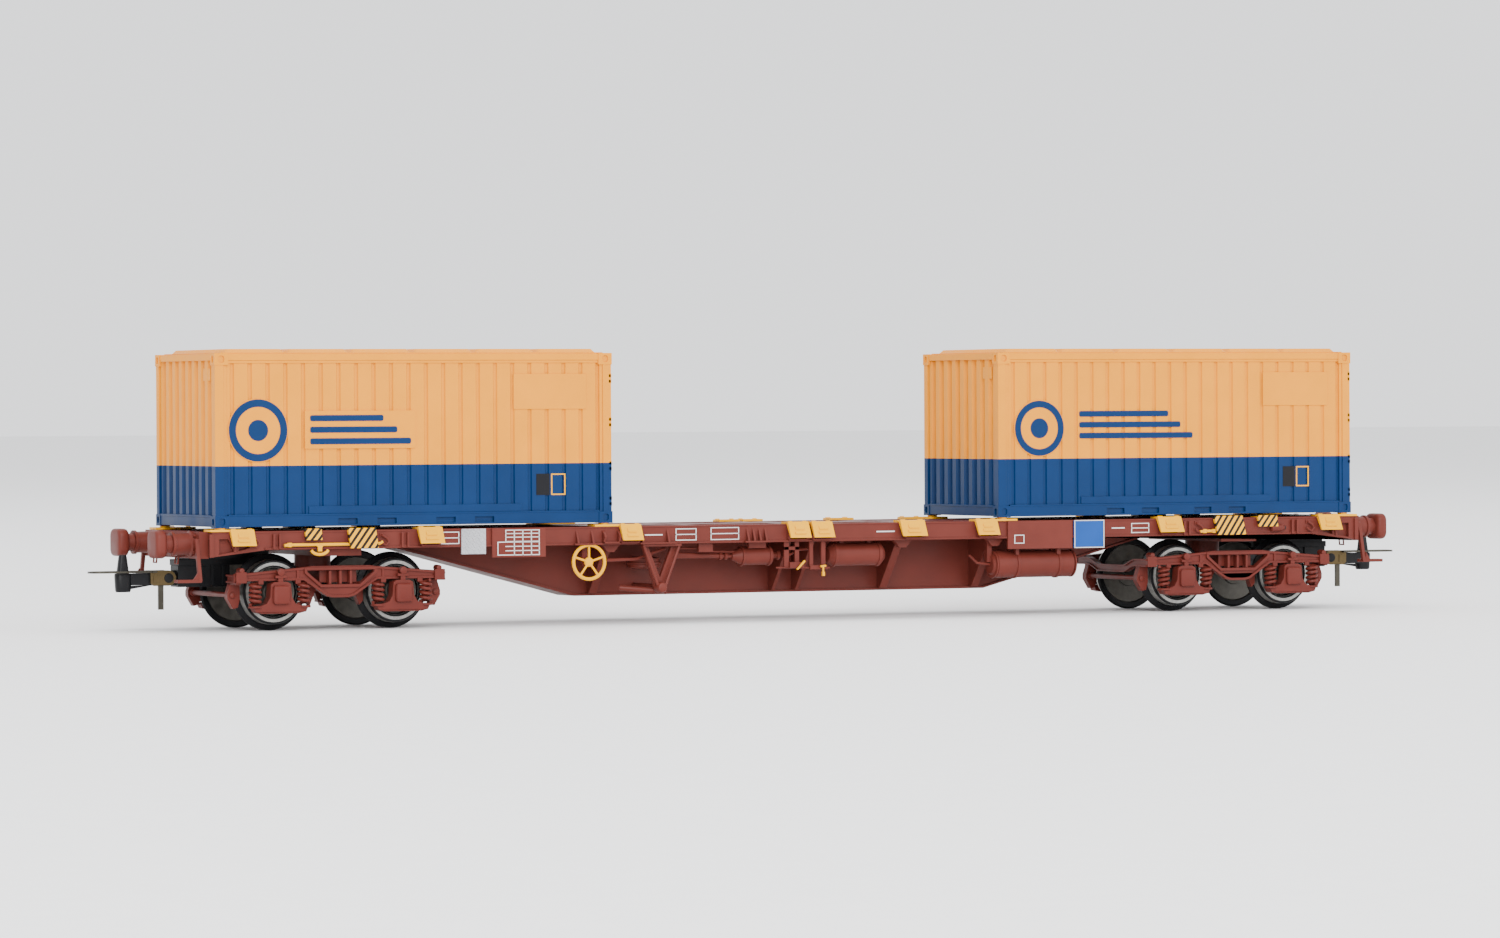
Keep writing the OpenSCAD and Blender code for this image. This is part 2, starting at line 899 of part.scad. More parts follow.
module cont_side_walls() {
    color("gold")
        difference() {
            both_sides()
                span([-wall_x, wall_y - cont_t, wall_foot], [wall_x, wall_y, wall_top]);
            casting_blocks();
        }
}

module cont_end_wall() {
    color("gold")
        difference() {
            span([-wall_x, -wall_y + cont_t, wall_foot],
                 [-wall_x + cont_t, wall_y - cont_t, wall_top]);
            casting_blocks();
        }
}

module cont_doors() {
    seam = 0.1;
    color("gold")
        difference() {
            both_sides()
                span([wall_x - cont_t, seam / 2, wall_foot],
                     [wall_x, wall_y - cont_t, wall_top]);
            casting_blocks();
        }
}

module cont_floor() {
    floor_x = wall_x - cont_t;
    color("steelblue")
        difference() {
            span([-floor_x, -wall_y + cont_t, floor_rise],
                 [floor_x, wall_y - cont_t, floor_rise + floor_t]);
            casting_blocks();
        }
}

module cont_roof() {
    half_x = cont_l / 2 - roof_inset;
    half_y = cont_w / 2 - roof_inset / 2;
    color("gold")
        difference() {
            span([-half_x, -half_y, wall_top], [half_x, half_y, cont_h + roof_rise]);
            casting_blocks();
        }
}

module cont_castings() {
    hole_r = stud_r + running_gap;
    color("steelblue")
        difference() {
            casting_blocks();
            for (sx = [-1, 1], sy = [-1, 1]) {
                translate([sx * seat_dx, sy * seat_dy, -1])
                    cylinder(h = 1 + stud_h + 0.2, r = hole_r);
            }
        }
}

// ---- what is built

deck();
sole_bars();
centre_girder();
cross_ribs();
headstocks();
bolsters();
buffers();
coupler_guides();
spigot_plates();
warning_flaps();
corner_steps();
handwheels();
brake_hangers();
brake_cylinder();
air_tanks();
hook_bars();
red_panels();
blue_panels();
tread_plates();
at_bogie(-1) side_frames();  // bogie_a_side_frames
at_bogie(-1) bogie_bolster();  // bogie_a_bolster
at_bogie(-1) axle_boxes();  // bogie_a_axle_boxes
at_bogie(-1) springs();  // bogie_a_springs
at_bogie(-1) brakes(-1);  // bogie_a_brakes
at_bogie(-1) brake_beams();  // bogie_a_brake_beams
at_bogie(1) side_frames();  // bogie_b_side_frames
at_bogie(1) bogie_bolster();  // bogie_b_bolster
at_bogie(1) axle_boxes();  // bogie_b_axle_boxes
at_bogie(1) springs();  // bogie_b_springs
at_bogie(1) brakes(1);  // bogie_b_brakes
at_bogie(1) brake_beams();  // bogie_b_brake_beams
wheelset_at(-1, -1) axle();  // axle_a1
wheelset_at(-1, -1) wheels();  // wheels_a1
wheelset_at(-1, 1) axle();  // axle_a2
wheelset_at(-1, 1) wheels();  // wheels_a2
wheelset_at(1, -1) axle();  // axle_b1
wheelset_at(1, -1) wheels();  // wheels_b1
wheelset_at(1, 1) axle();  // axle_b2
wheelset_at(1, 1) wheels();  // wheels_b2
turned_to(-1) drawbar();  // coupler_a_drawbar
turned_to(-1) hook();  // coupler_a_hook
turned_to(-1) loop();  // coupler_a_loop
turned_to(1) drawbar();  // coupler_b_drawbar
turned_to(1) hook();  // coupler_b_hook
turned_to(1) loop();  // coupler_b_loop
at_container(-1) cont_side_walls();  // container_a_side_walls
at_container(-1) cont_end_wall();  // container_a_end_wall
at_container(-1) cont_doors();  // container_a_doors
at_container(-1) cont_floor();  // container_a_floor
at_container(-1) cont_roof();  // container_a_roof
at_container(-1) cont_castings();  // container_a_castings
at_container(1) cont_side_walls();  // container_b_side_walls
at_container(1) cont_end_wall();  // container_b_end_wall
at_container(1) cont_doors();  // container_b_doors
at_container(1) cont_floor();  // container_b_floor
at_container(1) cont_roof();  // container_b_roof
at_container(1) cont_castings();  // container_b_castings
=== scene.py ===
import math

import bmesh
import bpy
from mathutils import Matrix, Vector
from mathutils.geometry import tessellate_polygon


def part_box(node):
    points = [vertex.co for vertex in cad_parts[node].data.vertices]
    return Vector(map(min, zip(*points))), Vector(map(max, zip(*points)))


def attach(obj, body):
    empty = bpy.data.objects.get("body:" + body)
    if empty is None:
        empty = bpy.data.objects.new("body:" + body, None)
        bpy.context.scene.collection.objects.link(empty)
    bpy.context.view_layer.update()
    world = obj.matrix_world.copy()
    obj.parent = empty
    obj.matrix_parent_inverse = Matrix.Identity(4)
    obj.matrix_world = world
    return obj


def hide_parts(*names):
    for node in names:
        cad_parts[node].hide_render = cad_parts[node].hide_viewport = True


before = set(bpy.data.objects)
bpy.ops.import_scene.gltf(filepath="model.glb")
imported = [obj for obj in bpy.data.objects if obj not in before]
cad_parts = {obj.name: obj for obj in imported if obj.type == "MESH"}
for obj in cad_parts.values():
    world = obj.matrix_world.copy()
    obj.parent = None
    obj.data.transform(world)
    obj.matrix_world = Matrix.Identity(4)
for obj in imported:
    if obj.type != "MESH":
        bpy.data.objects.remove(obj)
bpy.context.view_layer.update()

# Everything below is worked out in millimetres and scaled when a mesh is made.
MM = 0.001
X, Y, Z = 0, 1, 2


def box_mm(node):
    low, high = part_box(node)
    return low / MM, high / MM


# ---- outlines

def rectangle(a0, a1, b0, b1):
    return [(a0, b0), (a1, b0), (a1, b1), (a0, b1)]


def circle(centre, radius, steps=24):
    return [
        (centre[0] + radius * math.cos(math.tau * i / steps), centre[1] + radius * math.sin(math.tau * i / steps))
        for i in range(steps)
    ]


def rounded(width, height, radius, centre=(0, 0), steps=5):
    points = []
    for quarter, (sx, sy) in enumerate(((1, 1), (-1, 1), (-1, -1), (1, -1))):
        for i in range(steps + 1):
            angle = math.pi / 2 * (quarter + i / steps)
            points.append((
                centre[0] + sx * (width / 2 - radius) + radius * math.cos(angle),
                centre[1] + sy * (height / 2 - radius) + radius * math.sin(angle),
            ))
    return points


def inset(points, distance):
    """The outline moved inwards by distance, with mitred corners."""
    count = len(points)
    area = sum(points[i - 1][0] * points[i][1] - points[i][0] * points[i - 1][1] for i in range(count))
    turn = 1 if area > 0 else -1
    moved = []
    for i in range(count):
        before, here, after = (Vector(points[k % count]) for k in (i - 1, i, i + 1))
        d1 = (here - before).normalized()
        d2 = (after - here).normalized()
        n1 = Vector((-d1.y, d1.x)) * turn
        n2 = Vector((-d2.y, d2.x)) * turn
        moved.append(tuple(here + (n1 + n2) / (1 + n1.dot(n2)) * distance))
    return moved


def inset_open(points, distance):
    """An open run of points moved to its left by distance."""
    moved = []
    count = len(points)
    for i in range(count):
        before = Vector(points[max(i - 1, 0)])
        after = Vector(points[min(i + 1, count - 1)])
        ahead = (after - before).normalized()
        moved.append(tuple(Vector(points[i]) + Vector((-ahead.y, ahead.x)) * distance))
    return moved


def placed(axis, point, along):
    """A point of an outline, given its third coordinate along axis."""
    a, b = point
    return ((along, a, b), (a, along, b), (a, b, along))[axis]


# ---- solids

class Solid:
    """The faces of one piece, gathered before its mesh is made."""

    def __init__(self):
        self.verts = []
        self.faces = []
        self.mats = []

    def add(self, verts, faces, mat=0):
        start = len(self.verts)
        self.verts += [tuple(v) for v in verts]
        self.faces += [[start + i for i in face] for face in faces]
        self.mats += [mat] * len(faces)

    def prism(self, outline, axis, start, end, mat=0, holes=()):
        """An outline in the other two axes, pushed from start to end along axis."""
        loops = [list(outline)] + [list(hole) for hole in holes]
        flat = [point for loop in loops for point in loop]
        count = len(flat)
        verts = [placed(axis, p, start) for p in flat] + [placed(axis, p, end) for p in flat]
        caps = [list(range(count))]
        if holes:
            caps = tessellate_polygon([[Vector((*p, 0)) for p in loop] for loop in loops])
        faces = [list(cap) for cap in caps] + [[i + count for i in reversed(cap)] for cap in caps]
        first = 0
        for loop in loops:
            n = len(loop)
            for i in range(n):
                a = first + i
                b = first + (i + 1) % n
                faces.append([a, b, b + count, a + count])
            first += n
        self.add(verts, faces, mat)

    def block(self, low, high, mat=0):
        self.prism(rectangle(low[0], high[0], low[1], high[1]), Z, low[2], high[2], mat)

    def loft(self, axis, rings, mat=0):
        """Outlines of as many points each, joined one after another along axis."""
        n = len(rings[0][0])
        verts = [placed(axis, p, along) for outline, along in rings for p in outline]
        last = (len(rings) - 1) * n
        faces = [list(range(n)), [last + i for i in reversed(range(n))]]
        for k in range(len(rings) - 1):
            for i in range(n):
                j = (i + 1) % n
                faces.append([k * n + i, k * n + j, (k + 1) * n + j, (k + 1) * n + i])
        self.add(verts, faces, mat)

    def lathe(self, axis, centre, profile, steps=32, mats=None, closed=False):
        """A profile of (radius, along), turned about a line along axis through centre."""
        rings = [[placed(axis, p, along) for p in circle(centre, r, steps)] for r, along in profile]
        count = len(rings)
        for k in range(count if closed else count - 1):
            quads = [[i, (i + 1) % steps, steps + (i + 1) % steps, steps + i] for i in range(steps)]
            self.add(rings[k] + rings[(k + 1) % count], quads, mats[k] if mats else 0)
        if not closed:
            self.add(rings[0], [list(range(steps))], mats[0] if mats else 0)
            self.add(rings[-1], [list(reversed(range(steps)))], mats[-1] if mats else 0)

    def rod(self, axis, centre, radius, start, end, steps=16, mat=0):
        self.prism(circle(centre, radius, steps), axis, start, end, mat)

    def tube(self, path, radius, sides=8, closed=False, mat=0):
        """A round bar along a path of points."""
        points = [Vector(p) for p in path]
        count = len(points)
        normal = None
        verts = []
        for i, point in enumerate(points):
            before = points[i - 1] if closed or i else point
            after = points[(i + 1) % count] if closed or i < count - 1 else point
            ahead = (after - before).normalized()
            if normal is None:
                normal = ahead.orthogonal().normalized()
            normal = (normal - ahead * normal.dot(ahead)).normalized()
            other = ahead.cross(normal)
            for k in range(sides):
                angle = math.tau * k / sides
                verts.append(point + (normal * math.cos(angle) + other * math.sin(angle)) * radius)
        faces = []
        for i in range(count if closed else count - 1):
            for k in range(sides):
                a = i * sides + k
                b = i * sides + (k + 1) % sides
                c = (i + 1) % count * sides
                faces.append([a, b, c + (k + 1) % sides, c + k])
        if not closed:
            faces.append(list(range(sides)))
            faces.append([(count - 1) * sides + k for k in reversed(range(sides))])
        self.add(verts, faces, mat)

    def copied(self, change):
        """Adds a copy of every face, with its points changed."""
        start = len(self.verts)
        self.verts += [change(v) for v in self.verts]
        self.faces += [[i + start for i in face] for face in self.faces]
        self.mats += list(self.mats)

    def mirrored(self, axis):
        def flip(v):
            return tuple(-c if k == axis else c for k, c in enumerate(v))
        self.copied(flip)

    def moved(self, offset):
        self.verts = [tuple(c + o for c, o in zip(v, offset)) for v in self.verts]
        return self


def make(name, body, solid, mats, bevel=0.08, replaces=(), smooth=35, segments=2):
    """A piece that rides on a body, from its solid and its materials."""
    mesh = bpy.data.meshes.new(name)
    mesh.from_pydata([Vector(v) * MM for v in solid.verts], [], solid.faces)
    for mat in mats:
        mesh.materials.append(mat)
    mesh.polygons.foreach_set("material_index", solid.mats)
    shape = bmesh.new()
    shape.from_mesh(mesh)
    bmesh.ops.remove_doubles(shape, verts=shape.verts, dist=1e-8)
    loose = [v for v in shape.verts if not v.link_faces]
    bmesh.ops.delete(shape, geom=loose, context="VERTS")
    bmesh.ops.recalc_face_normals(shape, faces=shape.faces)
    shape.to_mesh(mesh)
    shape.free()
    mesh.polygons.foreach_set("use_smooth", [True] * len(mesh.polygons))
    mesh.set_sharp_from_angle(angle=math.radians(smooth))
    piece = bpy.data.objects.new(name, mesh)
    bpy.context.collection.objects.link(piece)
    if bevel:
        rounding = piece.modifiers.new("rounding", "BEVEL")
        rounding.width = bevel * MM
        rounding.segments = segments
        rounding.limit_method = "ANGLE"
        rounding.angle_limit = math.radians(smooth)
        rounding.harden_normals = True
    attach(piece, body)
    if replaces:
        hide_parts(*replaces)
    return piece


# ---- materials

SHEEN = 0.15


def shade(colour, factor):
    return tuple(min(1.0, c * factor) for c in colour)


class Nodes:
    """Short ways to build a material's node tree."""

    def __init__(self, name):
        self.mat = bpy.data.materials.new(name)
        self.mat.use_nodes = True
        self.tree = self.mat.node_tree
        self.shader = self.tree.nodes["Principled BSDF"]

    def new(self, kind, **settings):
        node = self.tree.nodes.new(kind)
        for key, value in settings.items():
            setattr(node, key, value)
        return node

    def link(self, source, target):
        self.tree.links.new(source, target)

    def object_coords(self):
        return self.new("ShaderNodeTexCoord").outputs["Object"]

    def noise(self, scale, detail=3.0):
        node = self.new("ShaderNodeTexNoise")
        node.inputs["Scale"].default_value = scale
        node.inputs["Detail"].default_value = detail
        self.link(self.object_coords(), node.inputs["Vector"])
        return node.outputs["Fac"]

    def spread(self, value, low, high):
        """A value from 0.3 to 0.7 brought to the range low to high."""
        node = self.new("ShaderNodeMapRange")
        node.inputs["From Min"].default_value = 0.3
        node.inputs["From Max"].default_value = 0.7
        node.inputs["To Min"].default_value = low
        node.inputs["To Max"].default_value = high
        self.link(value, node.inputs["Value"])
        return node.outputs["Result"]

    def math(self, operation, first, second):
        node = self.new("ShaderNodeMath", operation=operation)
        for socket, value in zip(node.inputs, (first, second)):
            if isinstance(value, (int, float)):
                socket.default_value = value
            else:
                self.link(value, socket)
        return node.outputs[0]

    def mixed(self, factor, first, second):
        """Between two colours, each a triple or a socket."""
        node = self.new("ShaderNodeMix", data_type="RGBA")
        self.link(factor, node.inputs["Factor"])
        for socket, value in zip((node.inputs[6], node.inputs[7]), (first, second)):
            if isinstance(value, tuple):
                socket.default_value = (*value, 1)
            else:
                self.link(value, socket)
        return node.outputs[2]

    def bump(self, height, distance, strength=1.0):
        node = self.new("ShaderNodeBump")
        node.inputs["Distance"].default_value = distance * MM
        node.inputs["Strength"].default_value = strength
        self.link(height, node.inputs["Height"])
        self.link(node.outputs["Normal"], self.shader.inputs["Normal"])

    def clouded(self, cloud, colour, darker, lighter):
        """A colour that drifts a little darker and a little lighter."""
        return self.mixed(self.spread(cloud, 0, 1), shade(colour, 1 - darker), shade(colour, 1 + lighter))

    def surface(self, colour, rough, cloud, glossier, duller, grain=0.010, grain_scale=4200):
        """Links the colour, an uneven gloss and a fine grain to the shader."""
        self.link(colour, self.shader.inputs["Base Color"])
        self.link(self.spread(cloud, rough - glossier, rough + duller), self.shader.inputs["Roughness"])
        self.shader.inputs["Specular IOR Level"].default_value = SHEEN
        self.bump(self.noise(grain_scale, 2.0), grain)


def finish(name, colour, rough, metal=0.0, mottle=0.08, grain=0.012, grain_scale=5200, cloud_scale=260):
    """Moulded or painted stuff: cloudy colour, uneven gloss and a fine grain."""
    n = Nodes(name)
    cloud = n.noise(cloud_scale)
    n.shader.inputs["Metallic"].default_value = metal
    n.surface(n.clouded(cloud, colour, mottle, mottle), rough, cloud, 0.05, 0.07, grain, grain_scale)
    return n.mat


def two_tone(name, low_colour, high_colour, level, rough):
    """Container paint: one colour below a level and another above it."""
    n = Nodes(name)
    split = n.new("ShaderNodeSeparateXYZ")
    n.link(n.object_coords(), split.inputs[0])
    above = n.math("GREATER_THAN", split.outputs["Z"], level * MM)
    cloud = n.noise(180)
    low = n.clouded(cloud, low_colour, 0.07, 0.07)
    high = n.clouded(cloud, high_colour, 0.04, 0.04)
    n.surface(n.mixed(above, low, high), rough, cloud, 0.05, 0.06)
    return n.mat


def striped(name, light, dark, pitch, lean, rough):
    """Slanting warning stripes, painted along X and leaning with height."""
    n = Nodes(name)
    split = n.new("ShaderNodeSeparateXYZ")
    n.link(n.object_coords(), split.inputs[0])
    slant = n.math("SUBTRACT", split.outputs["X"], n.math("MULTIPLY", split.outputs["Z"], lean))
    phase = n.math("FRACT", n.math("DIVIDE", n.math("ADD", slant, 1.0), pitch * MM), 0.0)
    painted = n.math("GREATER_THAN", phase, 0.55)
    cloud = n.noise(400)
    n.surface(n.mixed(painted, n.clouded(cloud, light, 0.06, 0.05), dark), rough, cloud, 0.04, 0.06)
    return n.mat


# colours as linear light
FRAME_RED = (0.105, 0.020, 0.014)
BOGIE_RED = (0.098, 0.017, 0.012)
SIGNAL_YELLOW = (0.72, 0.33, 0.0)
ORANGE_YELLOW = (0.70, 0.25, 0.0)
DEEP_BLUE = (0.0, 0.020, 0.080)
SIGN_BLUE = (0.008, 0.060, 0.26)
BLACK = (0.006, 0.006, 0.007)

frame_red = finish("frame_red", FRAME_RED, 0.42)
deck_red = finish("deck_red", shade(FRAME_RED, 0.82), 0.40)
bogie_red = finish("bogie_red", BOGIE_RED, 0.38, grain=0.016)
panel_red = finish("panel_red", shade(FRAME_RED, 1.06), 0.36)
signal_yellow = finish("signal_yellow", SIGNAL_YELLOW, 0.34, mottle=0.04)
sign_blue = finish("sign_blue", SIGN_BLUE, 0.36, mottle=0.05)
white_print = finish("white_print", (0.58, 0.57, 0.56), 0.5, mottle=0.05)
chequer_silver = finish("chequer_silver", (0.42, 0.42, 0.44), 0.34, metal=0.55, mottle=0.10)
black_plastic = finish("black_plastic", BLACK, 0.38, grain=0.02)
loop_steel = finish("loop_steel", (0.055, 0.050, 0.040), 0.34, metal=0.9, mottle=0.2)
brass = finish("brass", (0.085, 0.060, 0.028), 0.38, metal=0.85, mottle=0.2)
tyre_black = finish("tyre_black", (0.010, 0.010, 0.011), 0.30, metal=0.4)
tyre_silver = finish("tyre_silver", (0.26, 0.255, 0.24), 0.33, metal=0.85, mottle=0.25, cloud_scale=2500)
wheel_grey = finish("wheel_grey", (0.095, 0.09, 0.08), 0.42, metal=0.8, mottle=0.25, cloud_scale=700)
axle_steel = finish("axle_steel", (0.14, 0.135, 0.13), 0.35, metal=0.9, mottle=0.12)
mark_blue = finish("mark_blue", shade(DEEP_BLUE, 1.0), 0.42, mottle=0.04)
print_black = finish("print_black", (0.006, 0.006, 0.008), 0.45)
hazard = striped("hazard", SIGNAL_YELLOW, (0.006, 0.006, 0.006), 1.2, 0.9, 0.36)


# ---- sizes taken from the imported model

deck_low, deck_high = box_mm("deck")
sole_low, sole_high = box_mm("sole_bars")
stock_low, stock_high = box_mm("headstocks")
deck_z = deck_high.z
sole_y = sole_high.y
sole_end = sole_high.x
sole_in = deck_high.y
head_x = stock_high.x
axle_low, axle_high = box_mm("axle_b2")
axle_z = (axle_low.z + axle_high.z) / 2
pivot_x = (box_mm("bogie_b_bolster")[0].x + box_mm("bogie_b_bolster")[1].x) / 2
axle_dx = (axle_low.x + axle_high.x) / 2 - pivot_x
wheel_high = box_mm("wheels_b2")[1]
flange_r = wheel_high.z - axle_z
girder_low, girder_high = box_mm("centre_girder")
side_high = box_mm("bogie_b_side_frames")[1]
axle_box_high = box_mm("bogie_b_axle_boxes")[1]
spring_low, spring_high = box_mm("bogie_b_springs")
cast_low, cast_high = box_mm("container_b_castings")
roof_top = box_mm("container_b_roof")[1].z
hook_low, hook_high = box_mm("coupler_b_hook")
draw_low, draw_high = box_mm("coupler_b_drawbar")
loop_low, loop_high = box_mm("coupler_b_loop")
sole_face = -sole_y
SOLE_H = 3
sole_foot = deck_z - SOLE_H
TAPER_L = 9
ENDS = {"a": -1, "b": 1}

# Places along the wagon, measured from its middle. Pairs give a middle and a length.
FLAPS = ((-101.2, 4), (-68.7, 4.2), (-33, 3.7), (-2.3, 3.8), (2.1, 3.8), (19.1, 4.6), (33.2, 4), (68.7, 4.6),
         (100.5, 4.2))
FLAP_BRACKETS = ((-36.4, 2.7), (-33.0, 3.2), (-2.3, 3.4), (2.1, 3.4), (19.4, 3.2), (33.6, 3.6), (-68.7, 3.2),
                 (68.7, 3.2))
STIFFENERS = (-95.2, -73.0, 72.3, 93.8)
ROPE_HOOKS = (-99.1, -76.7, 74.6, 96.8)
DECK_MEMBERS = (-100.5, -84.0, -68.7, -53.0, -37.0, -20.0, -2.0, 2.2, 19.0, 33.5, 53.0, 68.7, 84.0, 100.5)
FLANGED_RIBS = (-35.6, 18.4, 36.0)
GIRDER_FLAT = 38.3
# Each row of gussets: the ends of its base, and its fins.
GUSSETS = ((-43.2, -38.3, (-42.5, -39.8)), (-31.4, -24.8, (-30.8, -26.1)),
           (-12.2, -7.5, (-11.5, -10.4, -9.3, -8.2)))
# Blank printed frames on the sole bars: both ends, foot and top.
PRINTED_FRAMES = ((-67.2, -63.4, 13.7, 15.7), (-24.6, -20.8, 13.7, 15.7), (-18.2, -13.0, 13.7, 15.8),
                  (61.5, 65.0, 13.8, 15.5))
PRINTED_LINES = ((-30.2, -27.0), (12.6, 16.0), (57.7, 60.2))
FLAP_DROP = 2.3
FLAP_OUT = 1.9
HANGER_X = -27.2


# ---- underframe

def sole_bars():
    """The sole bars, with the openings by the headstocks and a lip along each edge."""
    low = sole_low.z
    outline = [
        (-sole_end, deck_z), (-sole_end, low), (-sole_end + TAPER_L, sole_foot),
        (sole_end - TAPER_L, sole_foot), (sole_end, low), (sole_end, deck_z),
    ]
    windows = [
        [(99.7, 13.55), (101.6, 13.1), (101.6, 15.0), (99.7, 15.0)],
        [(102.4, 13.0), (104.9, 12.55), (104.9, 15.0), (103.3, 15.0)],
    ]
    windows += [[(-x, z) for x, z in window] for window in windows]
    bars = Solid()
    bars.prism(outline, Y, -sole_y, -sole_y + 0.8, holes=windows)
    bars.prism(outline, Y, -sole_y + 0.8, -sole_in)
    lip_l = sole_end - TAPER_L
    bars.block((-lip_l, -sole_y - 0.22, sole_foot), (lip_l, -sole_y, sole_foot + 0.3))
    bars.block((-sole_end, -sole_y - 0.12, deck_z - 0.28), (sole_end, -sole_y, deck_z))
    bars.mirrored(Y)
    make("sole_bars_detailed", "wagon", bars, [frame_red], replaces=["sole_bars"])


def fin(solid, x, thick, top, foot, out):
    """A triangular gusset that stands on the sole bar's lower lip."""
    outline = [(sole_face, foot), (sole_face - out, foot), (sole_face - out, foot + 0.3), (sole_face, top)]
    solid.prism(outline, X, x - thick / 2, x + thick / 2)


def side_fittings():
    """Gussets, stiffeners, rope hooks and flap brackets along the sole bars."""
    foot = sole_foot
    face = sole_face
    parts = Solid()
    for x0, x1, fins in GUSSETS:
        parts.block((x0, face - 1.0, foot), (x1, face, foot + 0.28))
        for x in fins:
            fin(parts, x, 0.35, deck_z - 0.5, foot + 0.2, 0.9)
    for x in STIFFENERS:
        parts.block((x - 0.85, face - 0.25, foot + 0.1), (x + 0.85, face, foot + 0.5))
        for dx in (-0.5, 0.5):
            parts.block((x + dx - 0.18, face - 0.55, foot + 0.1), (x + dx + 0.18, face, deck_z - 0.5))
    for x in ROPE_HOOKS:
        hook = [
            (x - 0.3, face, deck_z - 0.8), (x - 0.3, face - 0.45, deck_z - 0.9), (x + 0.5, face - 0.5, deck_z - 1.4),
            (x + 0.8, face - 0.5, deck_z - 1.9), (x + 0.3, face - 0.5, deck_z - 2.5),
            (x - 0.3, face - 0.5, deck_z - 2.2), (x - 0.7, face - 0.5, deck_z - 1.8),
        ]
        parts.tube(hook, 0.2)
        parts.block((x - 0.65, face - 0.2, deck_z - 1.2), (x + 0.25, face, deck_z - 0.5))
    for x, w in FLAP_BRACKETS:
        for s in (-1, 1):
            cheek = x + s * w / 2
            outline = [(face, foot + 0.3), (face - 0.75, foot + 0.5), (face - 1.2, deck_z - 1.7),
                       (face - 0.9, deck_z - 1.2), (face, deck_z - 0.6)]
            parts.prism(outline, X, cheek - 0.2, cheek + 0.2)
        parts.block((x - w / 2, face - 0.75, foot + 0.2), (x + w / 2, face, foot + 0.5))
    for s in (-1, 1):
        parts.block((s * 106.3 - 0.35, face - 0.35, sole_low.z), (s * 106.3 + 0.35, face, deck_z - 0.4))
        parts.tube([(s * 102.0, face - 0.1, deck_z - 0.6), (s * 102.3, face - 0.1, sole_low.z + 0.8)], 0.25)
    parts.mirrored(Y)
    make("side_fittings", "wagon", parts, [frame_red], bevel=0.05)


def deck():
    """The deck's top: frame members standing over recessed bays."""
    half_l = deck_high.x
    half_w = deck_high.y
    sunk = deck_z - 0.45
    rim = 1.6
    spine = 4.2
    plate = Solid()
    plate.block((-half_l, -half_w, deck_low.z), (half_l, half_w, sunk))
    for s in (-1, 1):
        plate.block((-half_l, s * half_w - (rim if s > 0 else 0), sunk),
                    (half_l, s * half_w + (rim if s < 0 else 0), deck_z))
    plate.block((-half_l, -spine, sunk), (half_l, spine, deck_z))
    for x in DECK_MEMBERS:
        for s in (-1, 1):
            low_y = min(s * spine, s * (half_w - rim))
            plate.block((x - 1.2, low_y, sunk), (x + 1.2, low_y + half_w - rim - spine, deck_z))
    for x0, x1 in zip(DECK_MEMBERS, DECK_MEMBERS[1:]):
        if x1 - x0 > 8:
            for s in (-1, 1):
                for k in range(1, 4):
                    x = x0 + (x1 - x0) * k / 4
                    low_y = min(s * spine, s * (half_w - rim))
                    plate.block((x - 0.3, low_y, sunk), (x + 0.3, low_y + half_w - rim - spine, sunk + 0.2))
    make("deck_plate", "wagon", plate, [deck_red], replaces=["deck"])


def girder_trim():
    """Flanges along the foot and the head of the centre girder."""
    half_w = girder_high.y
    flat_x = GIRDER_FLAT
    end_x = girder_high.x
    foot = girder_low.z
    top = sole_foot
    trim = Solid()
    strip = 0.38
    out = 0.45
    trim.prism([
        (-end_x, top), (-flat_x, foot), (flat_x, foot), (end_x, top),
        (end_x, top + strip), (flat_x, foot + strip), (-flat_x, foot + strip), (-end_x, top + strip),
    ], Y, -half_w - out, -half_w)
    trim.block((-end_x - 1, -half_w - out, top + 1.2), (end_x + 1, -half_w, top + 1.8))
    trim.mirrored(Y)
    make("girder_trim", "wagon", trim, [frame_red], bevel=0.06)


def rib_flanges():
    """The flange on each slanting cross rib, with the bracket at its head."""
    foot_y = girder_high.y + 1.5
    head_y = sole_in - 1.6
    foot = girder_low.z + 0.4
    top = sole_foot
    trim = Solid()
    for x in FLANGED_RIBS:
        edge = [(-foot_y - 0.25, foot), (-head_y - 0.3, top), (-head_y + 0.2, top), (-foot_y + 0.15, foot)]
        trim.prism(edge, X, x - 0.7, x + 0.7)
        trim.prism([(x - 1.7, top), (x - 0.6, top - 1.3), (x + 0.6, top - 1.3), (x + 1.7, top)], Y,
                   -head_y - 1.3, -head_y - 0.1)
    trim.mirrored(Y)
    make("rib_flanges", "wagon", trim, [frame_red], bevel=0.06)


def flap_pads():
    """The raised pad and hinge knuckles on each yellow flap."""
    out = FLAP_OUT
    drop = FLAP_DROP
    slope = math.atan2(drop, out)
    pads = Solid()
    for x, l in FLAPS:
        for t, w, h in ((0.36, l * 0.42, 0.55), (0.72, l * 0.52, 0.3)):
            y = -(sole_y + 0.45 + t * (out - 0.45))
            z = deck_z + 0.28 - t * (drop + 0.2)
            along = Vector((math.cos(slope), math.sin(slope)))
            normal = Vector((math.sin(slope), math.cos(slope)))
            outline = []
            for a, b in ((-h, 0), (h, 0), (h * 0.7, 0.22), (-h * 0.7, 0.22)):
                outline.append((y - a * along.x - b * normal.x, z - a * along.y + b * normal.y))
            pads.prism(outline, X, x - w / 2, x + w / 2)
        pads.rod(X, (-sole_y - 0.15, deck_z + 0.3), 0.2, x - l / 2 + 0.2, x - l / 4, 10)
        pads.rod(X, (-sole_y - 0.15, deck_z + 0.3), 0.2, x + l / 4, x + l / 2 - 0.2, 10)
    pads.mirrored(Y)
    make("flap_pads", "wagon", pads, [signal_yellow], bevel=0.05)


